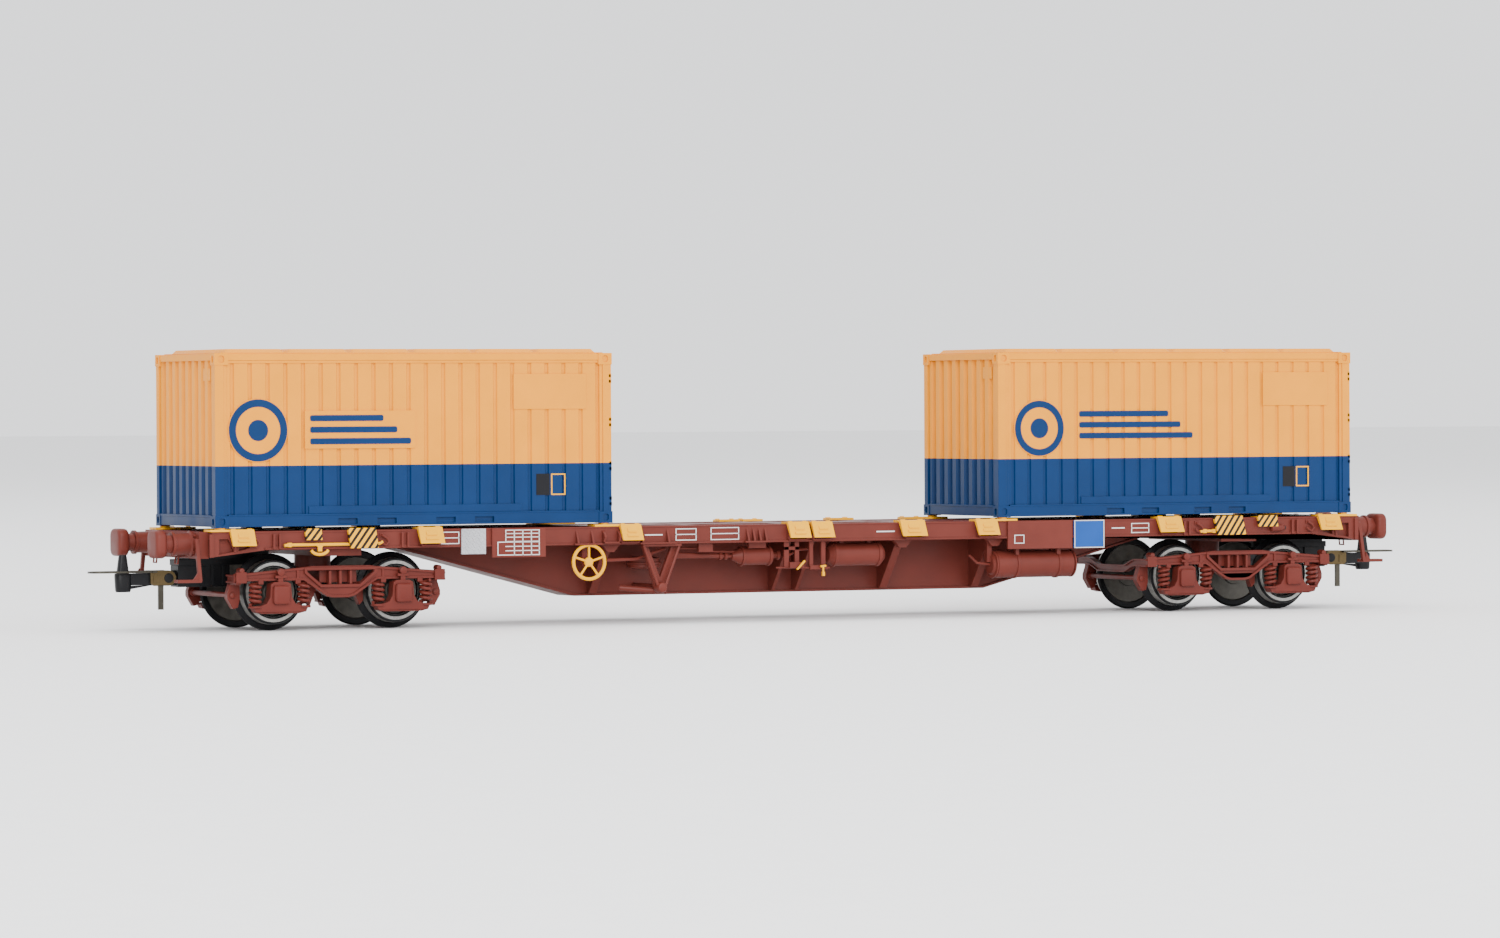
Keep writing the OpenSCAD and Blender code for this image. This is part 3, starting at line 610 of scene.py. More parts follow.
def chequer_plates():
    """The step plates, with staggered lozenges standing on them."""
    low, high = box_mm("tread_plates")
    face = low.y
    plate = Solid()
    inner = face + 0.35
    plate.prism([(low.x, low.z), (high.x, low.z), (high.x, high.z), (low.x, high.z)], Y, face + 0.06, inner + 0.05)
    rows, columns = 9, 8
    for r in range(rows):
        for c in range(columns):
            x = low.x + (c + 0.5 + 0.5 * (r % 2)) * (high.x - low.x) / (columns + 0.5)
            z = low.z + (r + 0.5) * (high.z - low.z) / rows
            lean = 1 if (r + c) % 2 else -1
            long, short = 0.19, 0.07
            points = [(x - long, z - lean * long), (x + short, z - lean * short),
                      (x + long, z + lean * long), (x - short, z + lean * short)]
            plate.prism(points, Y, face - 0.04, face + 0.06)
    plate.mirrored(Y)
    make("chequer_plates", "wagon", plate, [chequer_silver], bevel=0.02,
         replaces=["tread_plates"], segments=1)


def blank_frames():
    """White printed outlines on the sole bars and panels, with nothing written in them."""
    marks = Solid()
    proud = 0.06
    line = 0.14

    def outline(x0, x1, z0, z1, face):
        marks.prism(rectangle(x0, x1, z0, z1), Y, face - proud, face, 0,
                    [rectangle(x0 + line, x1 - line, z0 + line, z1 - line)])

    face = -sole_y - 0.02
    for x0, x1, z0, z1 in PRINTED_FRAMES:
        outline(x0, x1, z0, z1, face)
        marks.block((x0, face - proud, (z0 + z1) / 2 - line / 2), (x1, face, (z0 + z1) / 2 + line / 2))
    panel_face = box_mm("red_panels")[0].y - 0.02
    outline(-55.4, -49.3, 13.9, 15.9, panel_face)
    outline(-56.8, -49.3, 11.7, 13.95, panel_face)
    for k in range(1, 4):
        x = -55.4 + k * 1.52
        marks.block((x, panel_face - proud, 11.7), (x + line, panel_face, 15.9))
    for z in (12.4, 13.1, 14.6, 15.2):
        marks.block((-55.4, panel_face - proud, z), (-49.3, panel_face, z + line))
    outline(38.6, 40.5, 12.3, 13.8, panel_face)
    blue_low, blue_high = box_mm("blue_panels")
    outline(blue_low.x, blue_high.x, blue_low.z, blue_high.z, blue_low.y - 0.02)
    for x0, x1 in PRINTED_LINES:
        marks.block((x0, face - proud, deck_z - 1.6), (x1, face, deck_z - 1.4))
    marks.mirrored(Y)
    make("printed_outlines", "wagon", marks, [white_print], bevel=0)


def hand_wheels():
    """Five-spoked hand wheels with a domed hub."""
    low, high = box_mm("handwheels")
    centre = ((low.x + high.x) / 2, (low.z + high.z) / 2)
    radius = (high.x - low.x) / 2
    face = low.y + 0.32
    rim = 0.3
    wheel = Solid()
    path = [(x, face, z) for x, z in circle(centre, radius - rim, 40)]
    wheel.tube(path, rim, 10, closed=True)
    for k in range(5):
        angle = math.tau * (k + 0.25) / 5
        ray = Vector((math.cos(angle), 0, math.sin(angle)))
        hub = Vector((centre[0], face, centre[1]))
        wheel.tube([hub, hub + ray * radius * 0.5, hub + ray * (radius - rim)], 0.2)
    wheel.lathe(Y, centre, [(0.25, face - 0.3), (0.6, face - 0.22), (0.8, face), (0.8, face + 0.3)], 20)
    wheel.rod(Y, centre, 0.33, face, face + 1.4)
    wheel.mirrored(Y)
    make("hand_wheels", "wagon", wheel, [signal_yellow], bevel=0, replaces=["handwheels"])


def hook_bars():
    """The yellow release bars, and the double hook that hangs from the long one."""
    low, high = box_mm("hook_bars")
    y = -sole_y - 0.5
    z = deck_z - 2.25
    r = 0.27
    bars = Solid()

    def bar(x0, x1):
        bars.tube([(x0, y, z - 0.1), (x0 + 0.7, y, z), (x1 - 1.2, y, z), (x1 - 0.5, y, z + 0.05),
                   (x1, y, z + 0.35)], r)
        for x in (x0 + 0.9, x1 - 1.6):
            bars.rod(Z, (x, y), 0.42, z - 0.35, z + 0.35, 12)
            bars.tube([(x, y, z), (x, -sole_y, z)], 0.25)

    bar(low.x, low.x + 17)
    bar(high.x - 4.4, high.x)
    hook_x = -87.9
    bars.prism([(hook_x - 0.9, z + 0.2), (hook_x - 0.35, z - 0.45), (hook_x - 0.35, z - 1.1),
                (hook_x + 0.35, z - 1.1), (hook_x + 0.35, z - 0.45), (hook_x + 0.9, z + 0.2)], Y,
               y - 0.22, y + 0.22)
    arc = []
    for k in range(9):
        angle = math.pi * (1.08 + 0.84 * k / 8)
        arc.append((hook_x + 1.5 * math.cos(angle), y, z - 0.65 + 0.95 * math.sin(angle)))
    bars.tube(arc, 0.28)
    bars.mirrored(Y)
    make("release_bars", "wagon", bars, [signal_yellow], bevel=0.04, replaces=["hook_bars"])


def hanger_parts(gear):
    """The V-shaped hanger, the shaft through its boss and the load-change drum behind."""
    boss_x = HANGER_X
    boss_z = box_mm("brake_hangers")[0].z + 0.9
    for s in (-1, 1):
        gear.tube([(boss_x + s * 3.3, sole_face - 0.1, sole_foot - 0.1),
                   (boss_x + s * 0.7, sole_face - 0.1, boss_z + 0.4)], 0.28)
    gear.block((boss_x - 3.5, sole_face - 0.5, sole_foot - 0.4), (boss_x + 3.5, sole_face + 0.5, sole_foot))
    gear.lathe(Y, (boss_x, boss_z), [(0.35, sole_face - 0.75), (0.75, sole_face - 0.6), (0.95, sole_face - 0.1),
                                     (0.95, sole_face + 1.3)], 20)
    gear.rod(Y, (boss_x, boss_z), 0.55, sole_face + 1, -girder_high.y)
    gear.tube([(boss_x + 1.6, sole_face + 1.6, boss_z - 0.75), (boss_x - 5.6, sole_face + 4.6, boss_z - 0.1)],
              0.5, 10)
    drum = [(1.9, 8.9), (2.7, 9.2), (2.7, 9.7), (2.95, 9.75), (2.95, 10.05), (2.7, 10.1), (2.7, 10.7), (1.6, 11.0)]
    gear.lathe(Z, (boss_x - 0.2, -7.4), drum, 32)


def cylinder_parts(gear):
    """The brake rods, and the bands, piston rod and clevis of the brake cylinder."""
    face = sole_face + 1.0
    y = -11
    z = deck_z - 5.3
    gear.tube([(-36.5, face + 0.5, 10.6), (-31.0, face + 1.0, 10.7), (-25.5, face + 1.2, 12.4)], 0.3)
    gear.tube([(-24.5, y, 11.4), (-14.5, y, 10.9)], 0.42, 10)
    gear.tube([(-24.0, -11.2, 12.4), (-19.5, -11.2, 12.3), (-16.0, -11.2, 11.7), (-12.0, -11.2, 11.6)], 0.2)
    for x in (-11.2, -6.2):
        gear.lathe(X, (y, z), [(1.2, x - 0.2), (1.72, x - 0.18), (1.72, x + 0.18), (1.2, x + 0.2)], 28)
    gear.tube([(-5.8, y, z), (-4.3, y, z), (-3.9, y, z)], 0.5, 10)
    gear.lathe(X, (y, z), [(0.3, -4.7), (0.75, -4.6), (0.75, -4.1), (0.3, -4.0)], 16)
    for x in (-14.9, -13.9):
        gear.lathe(X, (y, z), [(0.3, x - 0.4), (0.62, x - 0.35), (0.62, x + 0.1), (0.3, x + 0.15)], 16)
    gear.block((-20.0, face - 0.2, 11.7), (-17.4, face + 0.6, sole_foot))
    gear.block((-10.6, face + 0.2, 12.2), (-7.4, face + 0.9, sole_foot))


def valve_parts(gear):
    """The change-over valves, their hangers and the pipes between them."""
    face = sole_face + 1.0
    for x0, x1, low in ((-4.4, -3.5, 9.0), (-2.4, -1.6, 9.3), (0.3, 1.0, 8.7), (2.5, 3.3, 8.7)):
        gear.block((x0, face - 0.5, low), (x1, face - 0.05, sole_foot))
    gear.block((-3.5, face - 0.9, 8.8), (-0.9, face - 0.1, 9.8))
    gear.block((0.3, face - 0.8, 8.5), (3.5, face - 0.1, 9.2))
    gear.block((-4.4, face - 0.5, 11.8), (-1.6, face - 0.05, 12.4))
    gear.tube([(-5.9, face - 0.3, 8.9), (0.2, face - 0.3, 8.8), (4.2, face - 0.3, 8.7)], 0.16)
    gear.tube([(-4.0, face, 10.6), (-1.0, face + 1.0, 11.8), (1.2, face + 1.5, 11.9)], 0.22)


def brake_gear():
    gear = Solid()
    hanger_parts(gear)
    cylinder_parts(gear)
    valve_parts(gear)
    gear.mirrored(Y)
    make("brake_rods", "wagon", gear, [frame_red], bevel=0.05)


def tank_bands():
    """The straps round both air tanks, the weld lines at the big one's ends, and its pipe."""
    bands = Solid()
    small_z = deck_z - 5.3
    big_z = deck_z - 7.45
    big_y = -11.2
    for x, y, z, r in ((5.9, -11, small_z, 1.95), (14.1, -11, small_z, 1.95), (40.2, big_y, big_z, 2.3),
                       (48.2, big_y, big_z, 2.3)):
        strap = [(r - 0.1, x - 0.3), (r + 0.16, x - 0.26), (r + 0.16, x + 0.26), (r - 0.1, x + 0.3)]
        bands.lathe(X, (y, z), strap, 36)
    for x in (39.6, 47.6):
        bands.block((x, -13.2, big_z + 1.6), (x + 0.7, -12.5, sole_foot))
    for x in (36.1, 51.2):
        weld = [(2.15, x - 0.16), (2.36, x - 0.12), (2.36, x + 0.12), (2.15, x + 0.16)]
        bands.lathe(X, (big_y, big_z), weld, 36)
    bands.tube([(35.6, big_y, big_z), (33.2, big_y, big_z + 0.3), (32.2, big_y + 1, big_z + 1.6)], 0.25)
    bands.block((34.9, -11.7, big_z + 0.4), (35.8, -10.7, sole_foot))
    make("tank_bands", "wagon", bands, [frame_red], bevel=0.04)


def small_levers():
    """The yellow change-over levers and the red isolating cock."""
    y = -sole_y + 0.1
    levers = Solid()
    levers.prism([(-2.5, 8.6), (-2.2, 8.5), (-0.8, 9.9), (-1.05, 10.15)], Y, y - 0.45, y - 0.15)
    levers.tube([(2.5, y - 0.3, 9.1), (2.5, y - 0.3, 7.5)], 0.18)
    levers.tube([(2.0, y - 0.3, 9.0), (3.0, y - 0.3, 9.1)], 0.2)
    levers.block((2.3, y - 0.5, 7.4), (2.75, y - 0.1, 8.1))
    levers.mirrored(Y)
    make("change_levers", "wagon", levers, [signal_yellow], bevel=0.04)
    cocks = Solid()
    centre = (sole_face - 0.45, deck_z - 1.85)
    cocks.lathe(X, centre, [(0.3, 88.9), (0.62, 89.0), (0.62, 91.0), (0.45, 91.1), (0.45, 91.5)], 20)
    cocks.lathe(X, centre, [(0.2, 91.3), (0.36, 91.4), (0.36, 91.75)], 16, mats=[1, 1, 1])
    cocks.mirrored(Y)
    make("isolating_cocks", "wagon", cocks, [frame_red, black_plastic], bevel=0.03)


def buffers():
    """Buffers with a stepped sleeve and a crowned square head."""
    low, high = box_mm("buffers")
    head_w = 4.9
    head_h = high.z - low.z
    centre = (-(high.y - head_w / 2), (low.z + high.z) / 2)
    tip = high.x
    back = tip - 1.9
    parts = Solid()
    sleeve = [(2.05, head_x - 0.1), (2.05, head_x + 0.35), (1.78, head_x + 0.6), (1.72, head_x + 3.0),
              (1.95, head_x + 3.1), (1.95, head_x + 3.55), (1.45, head_x + 3.6), (1.4, back + 0.1)]
    parts.lathe(X, centre, sleeve, 40)
    rings = []
    for along, scale in ((back, 0.80), (back + 0.25, 0.94), (back + 0.6, 1.0), (tip - 0.55, 1.0), (tip - 0.25, 0.965),
                         (tip - 0.08, 0.90), (tip, 0.72)):
        rings.append((rounded(head_w * scale, head_h * scale, 1.2 * scale, centre, 6), along))
    parts.loft(X, rings)
    for dy in (-1.9, 1.9):
        for dz in (-1.7, 1.7):
            parts.rod(X, (centre[0] + dy, centre[1] + dz * 0.8), 0.28, head_x, head_x + 0.35, 6)
    parts.mirrored(Y)
    parts.mirrored(X)
    make("buffers_detailed", "wagon", parts, [frame_red], bevel=0, replaces=["buffers"], smooth=40)


def headstock_trim():
    """Plates, handrails and rivets on the headstocks."""
    trim = Solid()
    top = deck_z
    trim.block((head_x, -3.2, stock_low.z + 0.3), (head_x + 0.3, 3.2, top - 0.6))
    for y in (-2.6, -1.6, 1.6, 2.6):
        for z in (stock_low.z + 0.8, top - 1.2):
            trim.rod(X, (y, z), 0.2, head_x + 0.25, head_x + 0.5, 8)
    for s in (-1, 1):
        trim.tube([(head_x, s * 4.4, stock_low.z + 0.4), (head_x + 1.0, s * 4.4, stock_low.z + 0.2),
                   (head_x + 1.1, s * 4.4, stock_low.z - 0.9), (head_x + 1.1, s * 5.8, stock_low.z - 0.9),
                   (head_x + 1.0, s * 5.8, stock_low.z + 0.2), (head_x, s * 5.8, stock_low.z + 0.4)], 0.16)
    trim.mirrored(X)
    make("headstock_trim", "wagon", trim, [frame_red], bevel=0.05)


def corner_steps():
    low, high = box_mm("corner_steps")
    edge = high.y
    base = low.z
    front = high.x
    steps = Solid()
    lean = 1.7
    strap = [(-edge, base + 0.2), (-edge + 0.7, base + 0.2), (-edge + lean + 0.7, stock_low.z + 3.2),
             (-edge + lean, stock_low.z + 3.2)]
    steps.prism(strap, X, head_x, head_x + 0.6)
    steps.loft(Z, [(rounded(front - head_x, 2.4, 0.35, ((front + head_x) / 2, -edge + 1.2)), base),
                   (rounded(front - head_x, 2.4, 0.35, ((front + head_x) / 2, -edge + 1.2)), base + 0.5)])
    steps.prism([(head_x + 0.6, base + 0.4), (head_x + 1.6, base + 0.4), (head_x + 0.6, base + 1.8)], Y,
                -edge + 0.1, -edge + 0.5)
    steps.mirrored(Y)
    steps.mirrored(X)
    make("steps_detailed", "wagon", steps, [frame_red], bevel=0.06, replaces=["corner_steps"])


# ---- bogies, drawn about their pivot with the outer end towards +X

def bogie_frames():
    """Both side frames: a beam with a rimmed truss in the middle and a bracket at each end."""
    half_l = side_high.x - pivot_x
    face = -side_high.y
    back = -(side_high.y - 1.3)
    top = side_high.z
    low = axle_z + 1.9
    flat = 5.0
    outline = [
        (-half_l, low), (-6.4, low), (-2.4, axle_z - 0.7), (-1.4, axle_z - 0.95), (1.4, axle_z - 0.95),
        (2.4, axle_z - 0.7), (6.4, low), (half_l, low), (half_l, top - 1.1), (flat + 1.2, top - 0.15),
        (flat, top), (-flat, top), (-flat - 1.2, top - 0.15), (-half_l, top - 1.1),
    ]
    window = [(-5.8, top - 0.7), (-5.8, top - 0.95), (-3.3, axle_z + 1.2), (3.3, axle_z + 1.2), (5.8, top - 0.95),
              (5.8, top - 0.7)]
    part = Solid()
    part.prism(outline, Y, face + 0.25, back, holes=[window])
    part.prism(outline, Y, face, face + 0.25, holes=[inset(outline, 0.42)])
    part.prism(inset(window, -0.5), Y, face - 0.12, face + 0.25, holes=[window])
    for x in (-1.8, 0.0, 1.8):
        part.block((x - 0.22, face + 0.1, axle_z + 1.2), (x + 0.22, back, top - 0.8))
    for s in (-1, 1):
        part.block((s * 7.4 - 0.2, face + 0.02, low + 0.3), (s * 7.4 + 0.2, face + 0.3, top - 0.6))
        part.block((s * half_l - 0.9, face - 0.35, low - 0.3), (s * half_l + 0.9, face + 0.3, low + 1.5))
        part.lathe(Y, (s * (half_l - 0.1), low + 1.7), [(0.2, face - 0.4), (0.45, face - 0.3), (0.5, back)], 14)
        for axle in (-axle_dx, axle_dx):
            x = axle + s * 3.2
            part.block((x - 0.45, face - 0.1, low - 0.55), (x + 0.45, face + 0.4, low + 0.2))
    part.mirrored(Y)
    return part


def axle_box_parts():
    """The bearing boxes, their saddles and the guide bolt above each."""
    face = -axle_box_high.y
    back = face + 2.5
    seat = axle_z - 2.35
    part = Solid()
    for x in (-axle_dx, axle_dx):
        saddle = [
            (x - 4.3, seat - 0.75), (x + 4.3, seat - 0.75), (x + 4.6, seat - 0.1), (x + 3.6, seat + 0.25),
            (x + 2.5, seat + 0.6), (x + 1.9, seat + 1.6), (x + 1.7, axle_z + 1.4), (x + 1.1, axle_z + 1.75),
            (x - 1.1, axle_z + 1.75), (x - 1.7, axle_z + 1.4), (x - 1.9, seat + 1.6), (x - 2.5, seat + 0.6),
            (x - 3.6, seat + 0.25), (x - 4.6, seat - 0.1),
        ]
        part.prism(saddle, Y, face + 0.45, back)
        centre = (x, axle_z - 0.35)
        rings = []
        for along, scale in ((face + 0.6, 1.0), (face + 0.1, 1.0), (face - 0.12, 0.88), (face - 0.2, 0.62)):
            rings.append((rounded(2.9 * scale, 3.1 * scale, 0.6 * scale, centre, 4), along))
        part.loft(Y, rings)
        for dx in (-1.15, 1.15):
            for dz in (-1.25, 1.25):
                part.rod(Y, (x + dx, axle_z - 0.35 + dz), 0.2, face - 0.12, face + 0.2, 8)
        part.block((x - 0.42, face + 0.55, axle_z + 1.6), (x + 0.42, face + 1.1, axle_z + 3.6))
        part.block((x - 0.95, face + 0.45, axle_z + 2.35), (x + 0.95, face + 1.1, axle_z + 2.8))
        part.lathe(Y, (x, axle_z + 3.3), [(0.25, face + 0.2), (0.62, face + 0.3), (0.62, face + 1.1)], 16)
        part.prism([(x - 4.2, seat - 0.75), (x + 4.2, seat - 0.75), (x + 3.2, seat - 1.0), (x - 3.2, seat - 1.0)], Y,
                   face + 0.6, back)
        for s in (-1, 1):
            middle_y = (face + back) / 2
            seat_at = (x + s * 4.15, middle_y)
            part.rod(Z, seat_at, 1.15, seat - 0.1, seat + 0.25, 20)
    part.mirrored(Y)
    return part


def coil_springs():
    top = spring_high.z
    low = spring_low.z + 0.2
    wire = 0.27
    radius = 1.1 - wire
    turns = 4.5
    steps = 72
    part = Solid()
    middle_y = -(spring_high.y + spring_high.y - 2.2) / 2
    for axle in (-axle_dx, axle_dx):
        for s in (-1, 1):
            path = []
            for i in range(steps + 1):
                angle = math.tau * turns * i / steps
                height = low + wire + (top - low - 2 * wire) * i / steps
                path.append((axle + s * 4.15 + radius * math.cos(angle), middle_y + radius * math.sin(angle), height))
            part.tube(path, wire, 7)
    part.mirrored(Y)
    return part


def dipped_beam(x0, x1, half_y, edge_y, flat_y, base, high, dip):
    """A beam across the bogie whose middle curves down, as one closed outline."""
    steps = 8
    lower = [(-half_y, base)]
    for k in range(steps + 1):
        t = k / steps
        ease = (1 - math.cos(math.pi * t)) / 2
        lower.append((-edge_y + (edge_y - flat_y) * t, base - dip * ease))
    lower += [(-y, z) for y, z in reversed(lower)]
    upper = [(y, z + high) for y, z in reversed(lower)]
    beam = Solid()
    beam.prism(lower + upper, X, x0, x1)
    lip = 0.28
    for shift in (0, high - lip):
        strip = [(y, z + shift) for y, z in lower] + [(y, z + shift + lip) for y, z in reversed(lower)]
        beam.prism(strip, X, x1, x1 + 0.3)
    return beam


def brake_parts():
    """End beams, brake hangers and shoes. The outer end is the one towards +X."""
    beam_x = side_high.x - pivot_x
    block_y = 9.9
    block_w = 1.4
    base = axle_z + 1.65
    reach = side_high.y
    part = Solid()
    for s in (-1, 1):
        shoe = Solid()
        holder = [(beam_x - 0.85, base), (beam_x - 0.85, axle_z - 1.1), (beam_x - 0.5, axle_z - 2.4),
                  (beam_x + 0.3, axle_z - 2.6), (beam_x + 1.3, axle_z - 0.9), (beam_x + 1.3, axle_z - 0.1),
                  (beam_x + 0.8, axle_z + 1.4), (beam_x + 0.8, base)]
        shoe.prism(holder, Y, -block_y, -block_y + block_w)
        shoe.lathe(Y, (beam_x + 0.45, axle_z - 0.4), [(0.2, -block_y - 0.35), (0.5, -block_y - 0.25),
                                                      (0.5, -block_y)], 12)
        inner = [(4.3, axle_z + 1.5), (4.95, axle_z + 1.5), (4.95, axle_z - 1.6), (4.3, axle_z - 2.3),
                 (3.3, axle_z + 0.2), (2.2, axle_z + 0.6), (2.2, axle_z + 1.5)]
        shoe.prism(inner, Y, -block_y, -block_y + block_w)
        if s > 0:
            shoe.block((beam_x, -reach, base), (beam_x + 0.8, -8.6, base + 1.3))
            shoe.prism([(-reach, base - 0.3), (-8.6, base - 0.3), (-8.9, base), (-reach, base)], X,
                       beam_x, beam_x + 0.8)
            shoe.block((beam_x + 0.8, -reach, base + 1.02), (beam_x + 1.1, -8.6, base + 1.3))
            shoe.block((beam_x + 0.8, -reach, base), (beam_x + 1.1, -8.6, base + 0.28))
            shoe.block((beam_x + 0.8, -reach, base), (beam_x + 1.15, -reach + 0.6, base + 1.5))
        shoe.mirrored(Y)
        if s < 0:
            beam = dipped_beam(beam_x, beam_x + 0.8, reach, 8.6, 4.0, base, 1.3, 1.1)
            shoe.add(beam.verts, beam.faces)
        part.add([(s * x, y, z) for x, y, z in shoe.verts], shoe.faces)
    return part


def brake_beam_parts():
    low, high = box_mm("bogie_b_brake_beams")
    beam_x = high.x - pivot_x - 0.45
    z = (low.z + high.z) / 2
    half = high.y
    part = Solid()
    for s in (-1, 1):
        part.lathe(Y, (s * beam_x, z), [(0.62, -half), (0.62, -half + 0.5), (0.42, -half + 0.7), (0.45, 0),
                                        (0.42, half - 0.7), (0.62, half - 0.5), (0.62, half)], 16)
    return part


def bogie(end, side):
    body = f"bogie_{end}"
    for name, part, node, bevel in (
        ("frames", bogie_frames(), "side_frames", 0.07),
        ("bearings", axle_box_parts(), "axle_boxes", 0.06),
        ("coils", coil_springs(), "springs", 0),
        ("brake_gear", brake_parts(), "brakes", 0.05),
        ("brake_bars", brake_beam_parts(), "brake_beams", 0),
    ):
        part.verts = [(side * x + side * pivot_x, y, z) for x, y, z in part.verts]
        make(f"{body}_{name}", body, part, [bogie_red], bevel=bevel, replaces=[f"{body}_{node}"])


def wheel_pair(end, number):
    """Both wheels of an axle: black flange and tread, bright rings and a grey web."""
    node = f"wheels_{end}{number}"
    low, high = box_mm(node)
    centre = ((low.x + high.x) / 2, axle_z)
    outer = high.y
    width = 2.9
    back = outer - width
    r = flange_r
    black, silver, grey = 0, 1, 2
    rings = [
        (0.98, back, grey), (2.2, back, grey), (2.3, back + 0.25, grey), (5.0, back + 0.25, grey),
        (5.2, back, black), (r - 0.3, back, black), (r - 0.06, back + 0.14, black), (r, back + 0.32, black),
        (r - 0.06, back + 0.52, black), (r - 0.5, back + 0.72, black), (r - 0.85, back + 0.9, black),
        (r - 0.95, back + 1.15, silver), (r - 1.02, outer - 0.2, black), (r - 1.15, outer, black),
        (r - 1.42, outer, silver), (r - 1.92, outer, black), (r - 2.0, outer - 0.25, black),
        (r - 2.16, outer - 0.25, silver), (r - 2.26, outer - 0.1, silver), (r - 2.36, outer - 0.25, black),
        (r - 2.5, outer - 0.55, grey), (3.2, outer - 0.68, grey), (2.0, outer - 0.6, grey), (1.75, outer - 0.1, grey),
        (1.6, outer, grey), (0.98, outer, grey),
    ]
    wheels = Solid()
    wheels.lathe(Y, centre, [(radius, along) for radius, along, _ in rings], 72,
                 mats=[mat for _, _, mat in rings], closed=True)
    wheels.mirrored(Y)
    make(f"{node}_turned", f"wheelset_{end}{number}", wheels, [tyre_black, tyre_silver, wheel_grey],
         bevel=0, replaces=[node], smooth=28)


# ---- couplers, drawn at the +X end

coupler_z = hook_low.z + 2.2
pin_x = head_x + 1.1
POCKET_L = 8.9
SLOT_L = 3.1
PLATE_IN = 1.1
PLATE_OUT = 1.5


def half_disc(centre, radius):
    """The half of a disc that lies towards lower values of its first coordinate."""
    angles = [math.pi * (0.5 + k / 10) for k in range(11)]
    return [(centre[0] + radius * math.cos(a), centre[1] + radius * math.sin(a)) for a in angles]


def coupler_hook():
    """The shank with its pin hole, the rounded head and the horn on top."""
    mid = coupler_z
    front = hook_high.x
    hook = Solid()
    shank = [(pin_x - 2.5, mid - 1.1), (front - 2.4, mid - 1.1), (front - 2.4, mid + 0.75),
             (pin_x + 2.5, mid + 0.9), (pin_x - 2.5, mid + 1.1)]
    hook.prism(shank, Y, -0.95, 0.95, holes=[circle((pin_x, mid), 0.5, 20)])
    head = ((-2.2, 2.3, 1.7), (-1.9, 2.5, 1.9), (0.5, 2.75, 2.0), (0.8, 2.6, 1.85))
    hook.loft(Z, [(rounded(l, w, 0.8, (front - 1.38, 0), 5), mid + dz) for dz, l, w in head])
    horn = ((0.6, 2.0, 1.5), (1.6, 1.75, 1.4), (3.5, 1.3, 1.2), (3.8, 1.1, 1.0))
    hook.loft(Z, [(rounded(l, w, 0.45, (front - 1.35, 0), 5), mid + dz) for dz, l, w in horn])
    hook.prism([(pin_x + 2.2, mid - 1.1), (front - 2.5, mid - 1.75), (front - 2.3, mid - 1.2)], Y, -0.35, 0.35)
    return hook


def coupler_drawbar():
    """The pocket block with the slot that takes the shank, under the swinging plate."""
    mid = coupler_z
    foot = draw_low.z
    top = draw_high.z
    front = draw_high.x
    back = front - POCKET_L
    swing_x = head_x - 12
    bar = Solid()
    bar.block((back, -1.8, foot), (front - SLOT_L, 1.8, top - 1))
    for low_y, high_y in ((-1.8, -1.05), (1.05, 1.8)):
        bar.block((front - SLOT_L - 0.1, low_y, foot), (front, high_y, top - 1))
    bar.block((front - SLOT_L - 0.1, -1.2, mid + 1.15), (front, 1.2, top - 1))
    bar.block((front - SLOT_L - 0.1, -1.2, foot), (front, 1.2, mid - 1.15))
    plate = half_disc((swing_x, 0), 2.2) + [(front, -2.2), (front, 2.2)]
    bar.prism(plate, Z, top - 1, top, holes=[circle((swing_x, 0), 0.66, 20)])
    for x in (back + 1.2, back + 3.0, back + 4.8):
        for s in (-1, 1):
            bar.block((x - 0.25, s * 1.95 - 0.15, foot + 0.3), (x + 0.25, s * 1.95 + 0.15, top - 1))
    return bar


def coupler_bow():
    """The flat bow, the brass plates at its root, the pin and the hanging tail."""
    steel, plated, black = 0, 1, 2
    mid = coupler_z
    bow = Solid()
    for s in (-1, 1):
        outline = half_disc((pin_x, mid), 1.25)
        outline += [(pin_x + 2.6, mid - 1.25), (pin_x + 3.1, mid - 0.8), (pin_x + 3.1, mid + 1.25)]
        bow.prism(outline, Y, *sorted((s * PLATE_IN, s * PLATE_OUT)), plated)
        bow.lathe(Y, (pin_x, mid), [(0.4, s * (PLATE_OUT + 0.2)), (0.75, s * (PLATE_OUT + 0.15)),
                                    (0.8, s * PLATE_OUT)], 20, mats=[black] * 3)
        bow.prism(rectangle(pin_x + 1.6, pin_x + 2.6, mid - 0.75, mid + 0.55), Y,
                  *sorted((s * PLATE_OUT, s * (PLATE_OUT + 0.12))), plated)
    bow.rod(Y, (pin_x, mid), 0.43, -PLATE_OUT, PLATE_OUT, 20, black)
    bow.block((pin_x + 0.9, -PLATE_OUT, loop_low.z), (pin_x + 1.8, -PLATE_IN, mid - 1.1), steel)
    bow_z = mid + 1.25 - 0.35
    half = 2.2
    centre_x = loop_high.x - 1.6
    edge = [(pin_x + 2.2, -half + 0.2)]
    for k in range(9):
        angle = -math.pi / 2 + math.pi * k / 8
        edge.append((centre_x + 1.6 * math.cos(angle), (half - 0.22) * math.sin(angle)))
    edge.append((pin_x + 2.2, half - 0.2))
    bow.prism(edge + inset_open(edge, 0.42)[::-1], Z, bow_z, bow_z + 0.3, steel)
    for s in (-1, 1):
        low_y, high_y = sorted((s * PLATE_IN, s * half))
        bow.block((pin_x + 2.2, low_y, bow_z), (pin_x + 3.0, high_y, bow_z + 0.3), steel)
    return bow


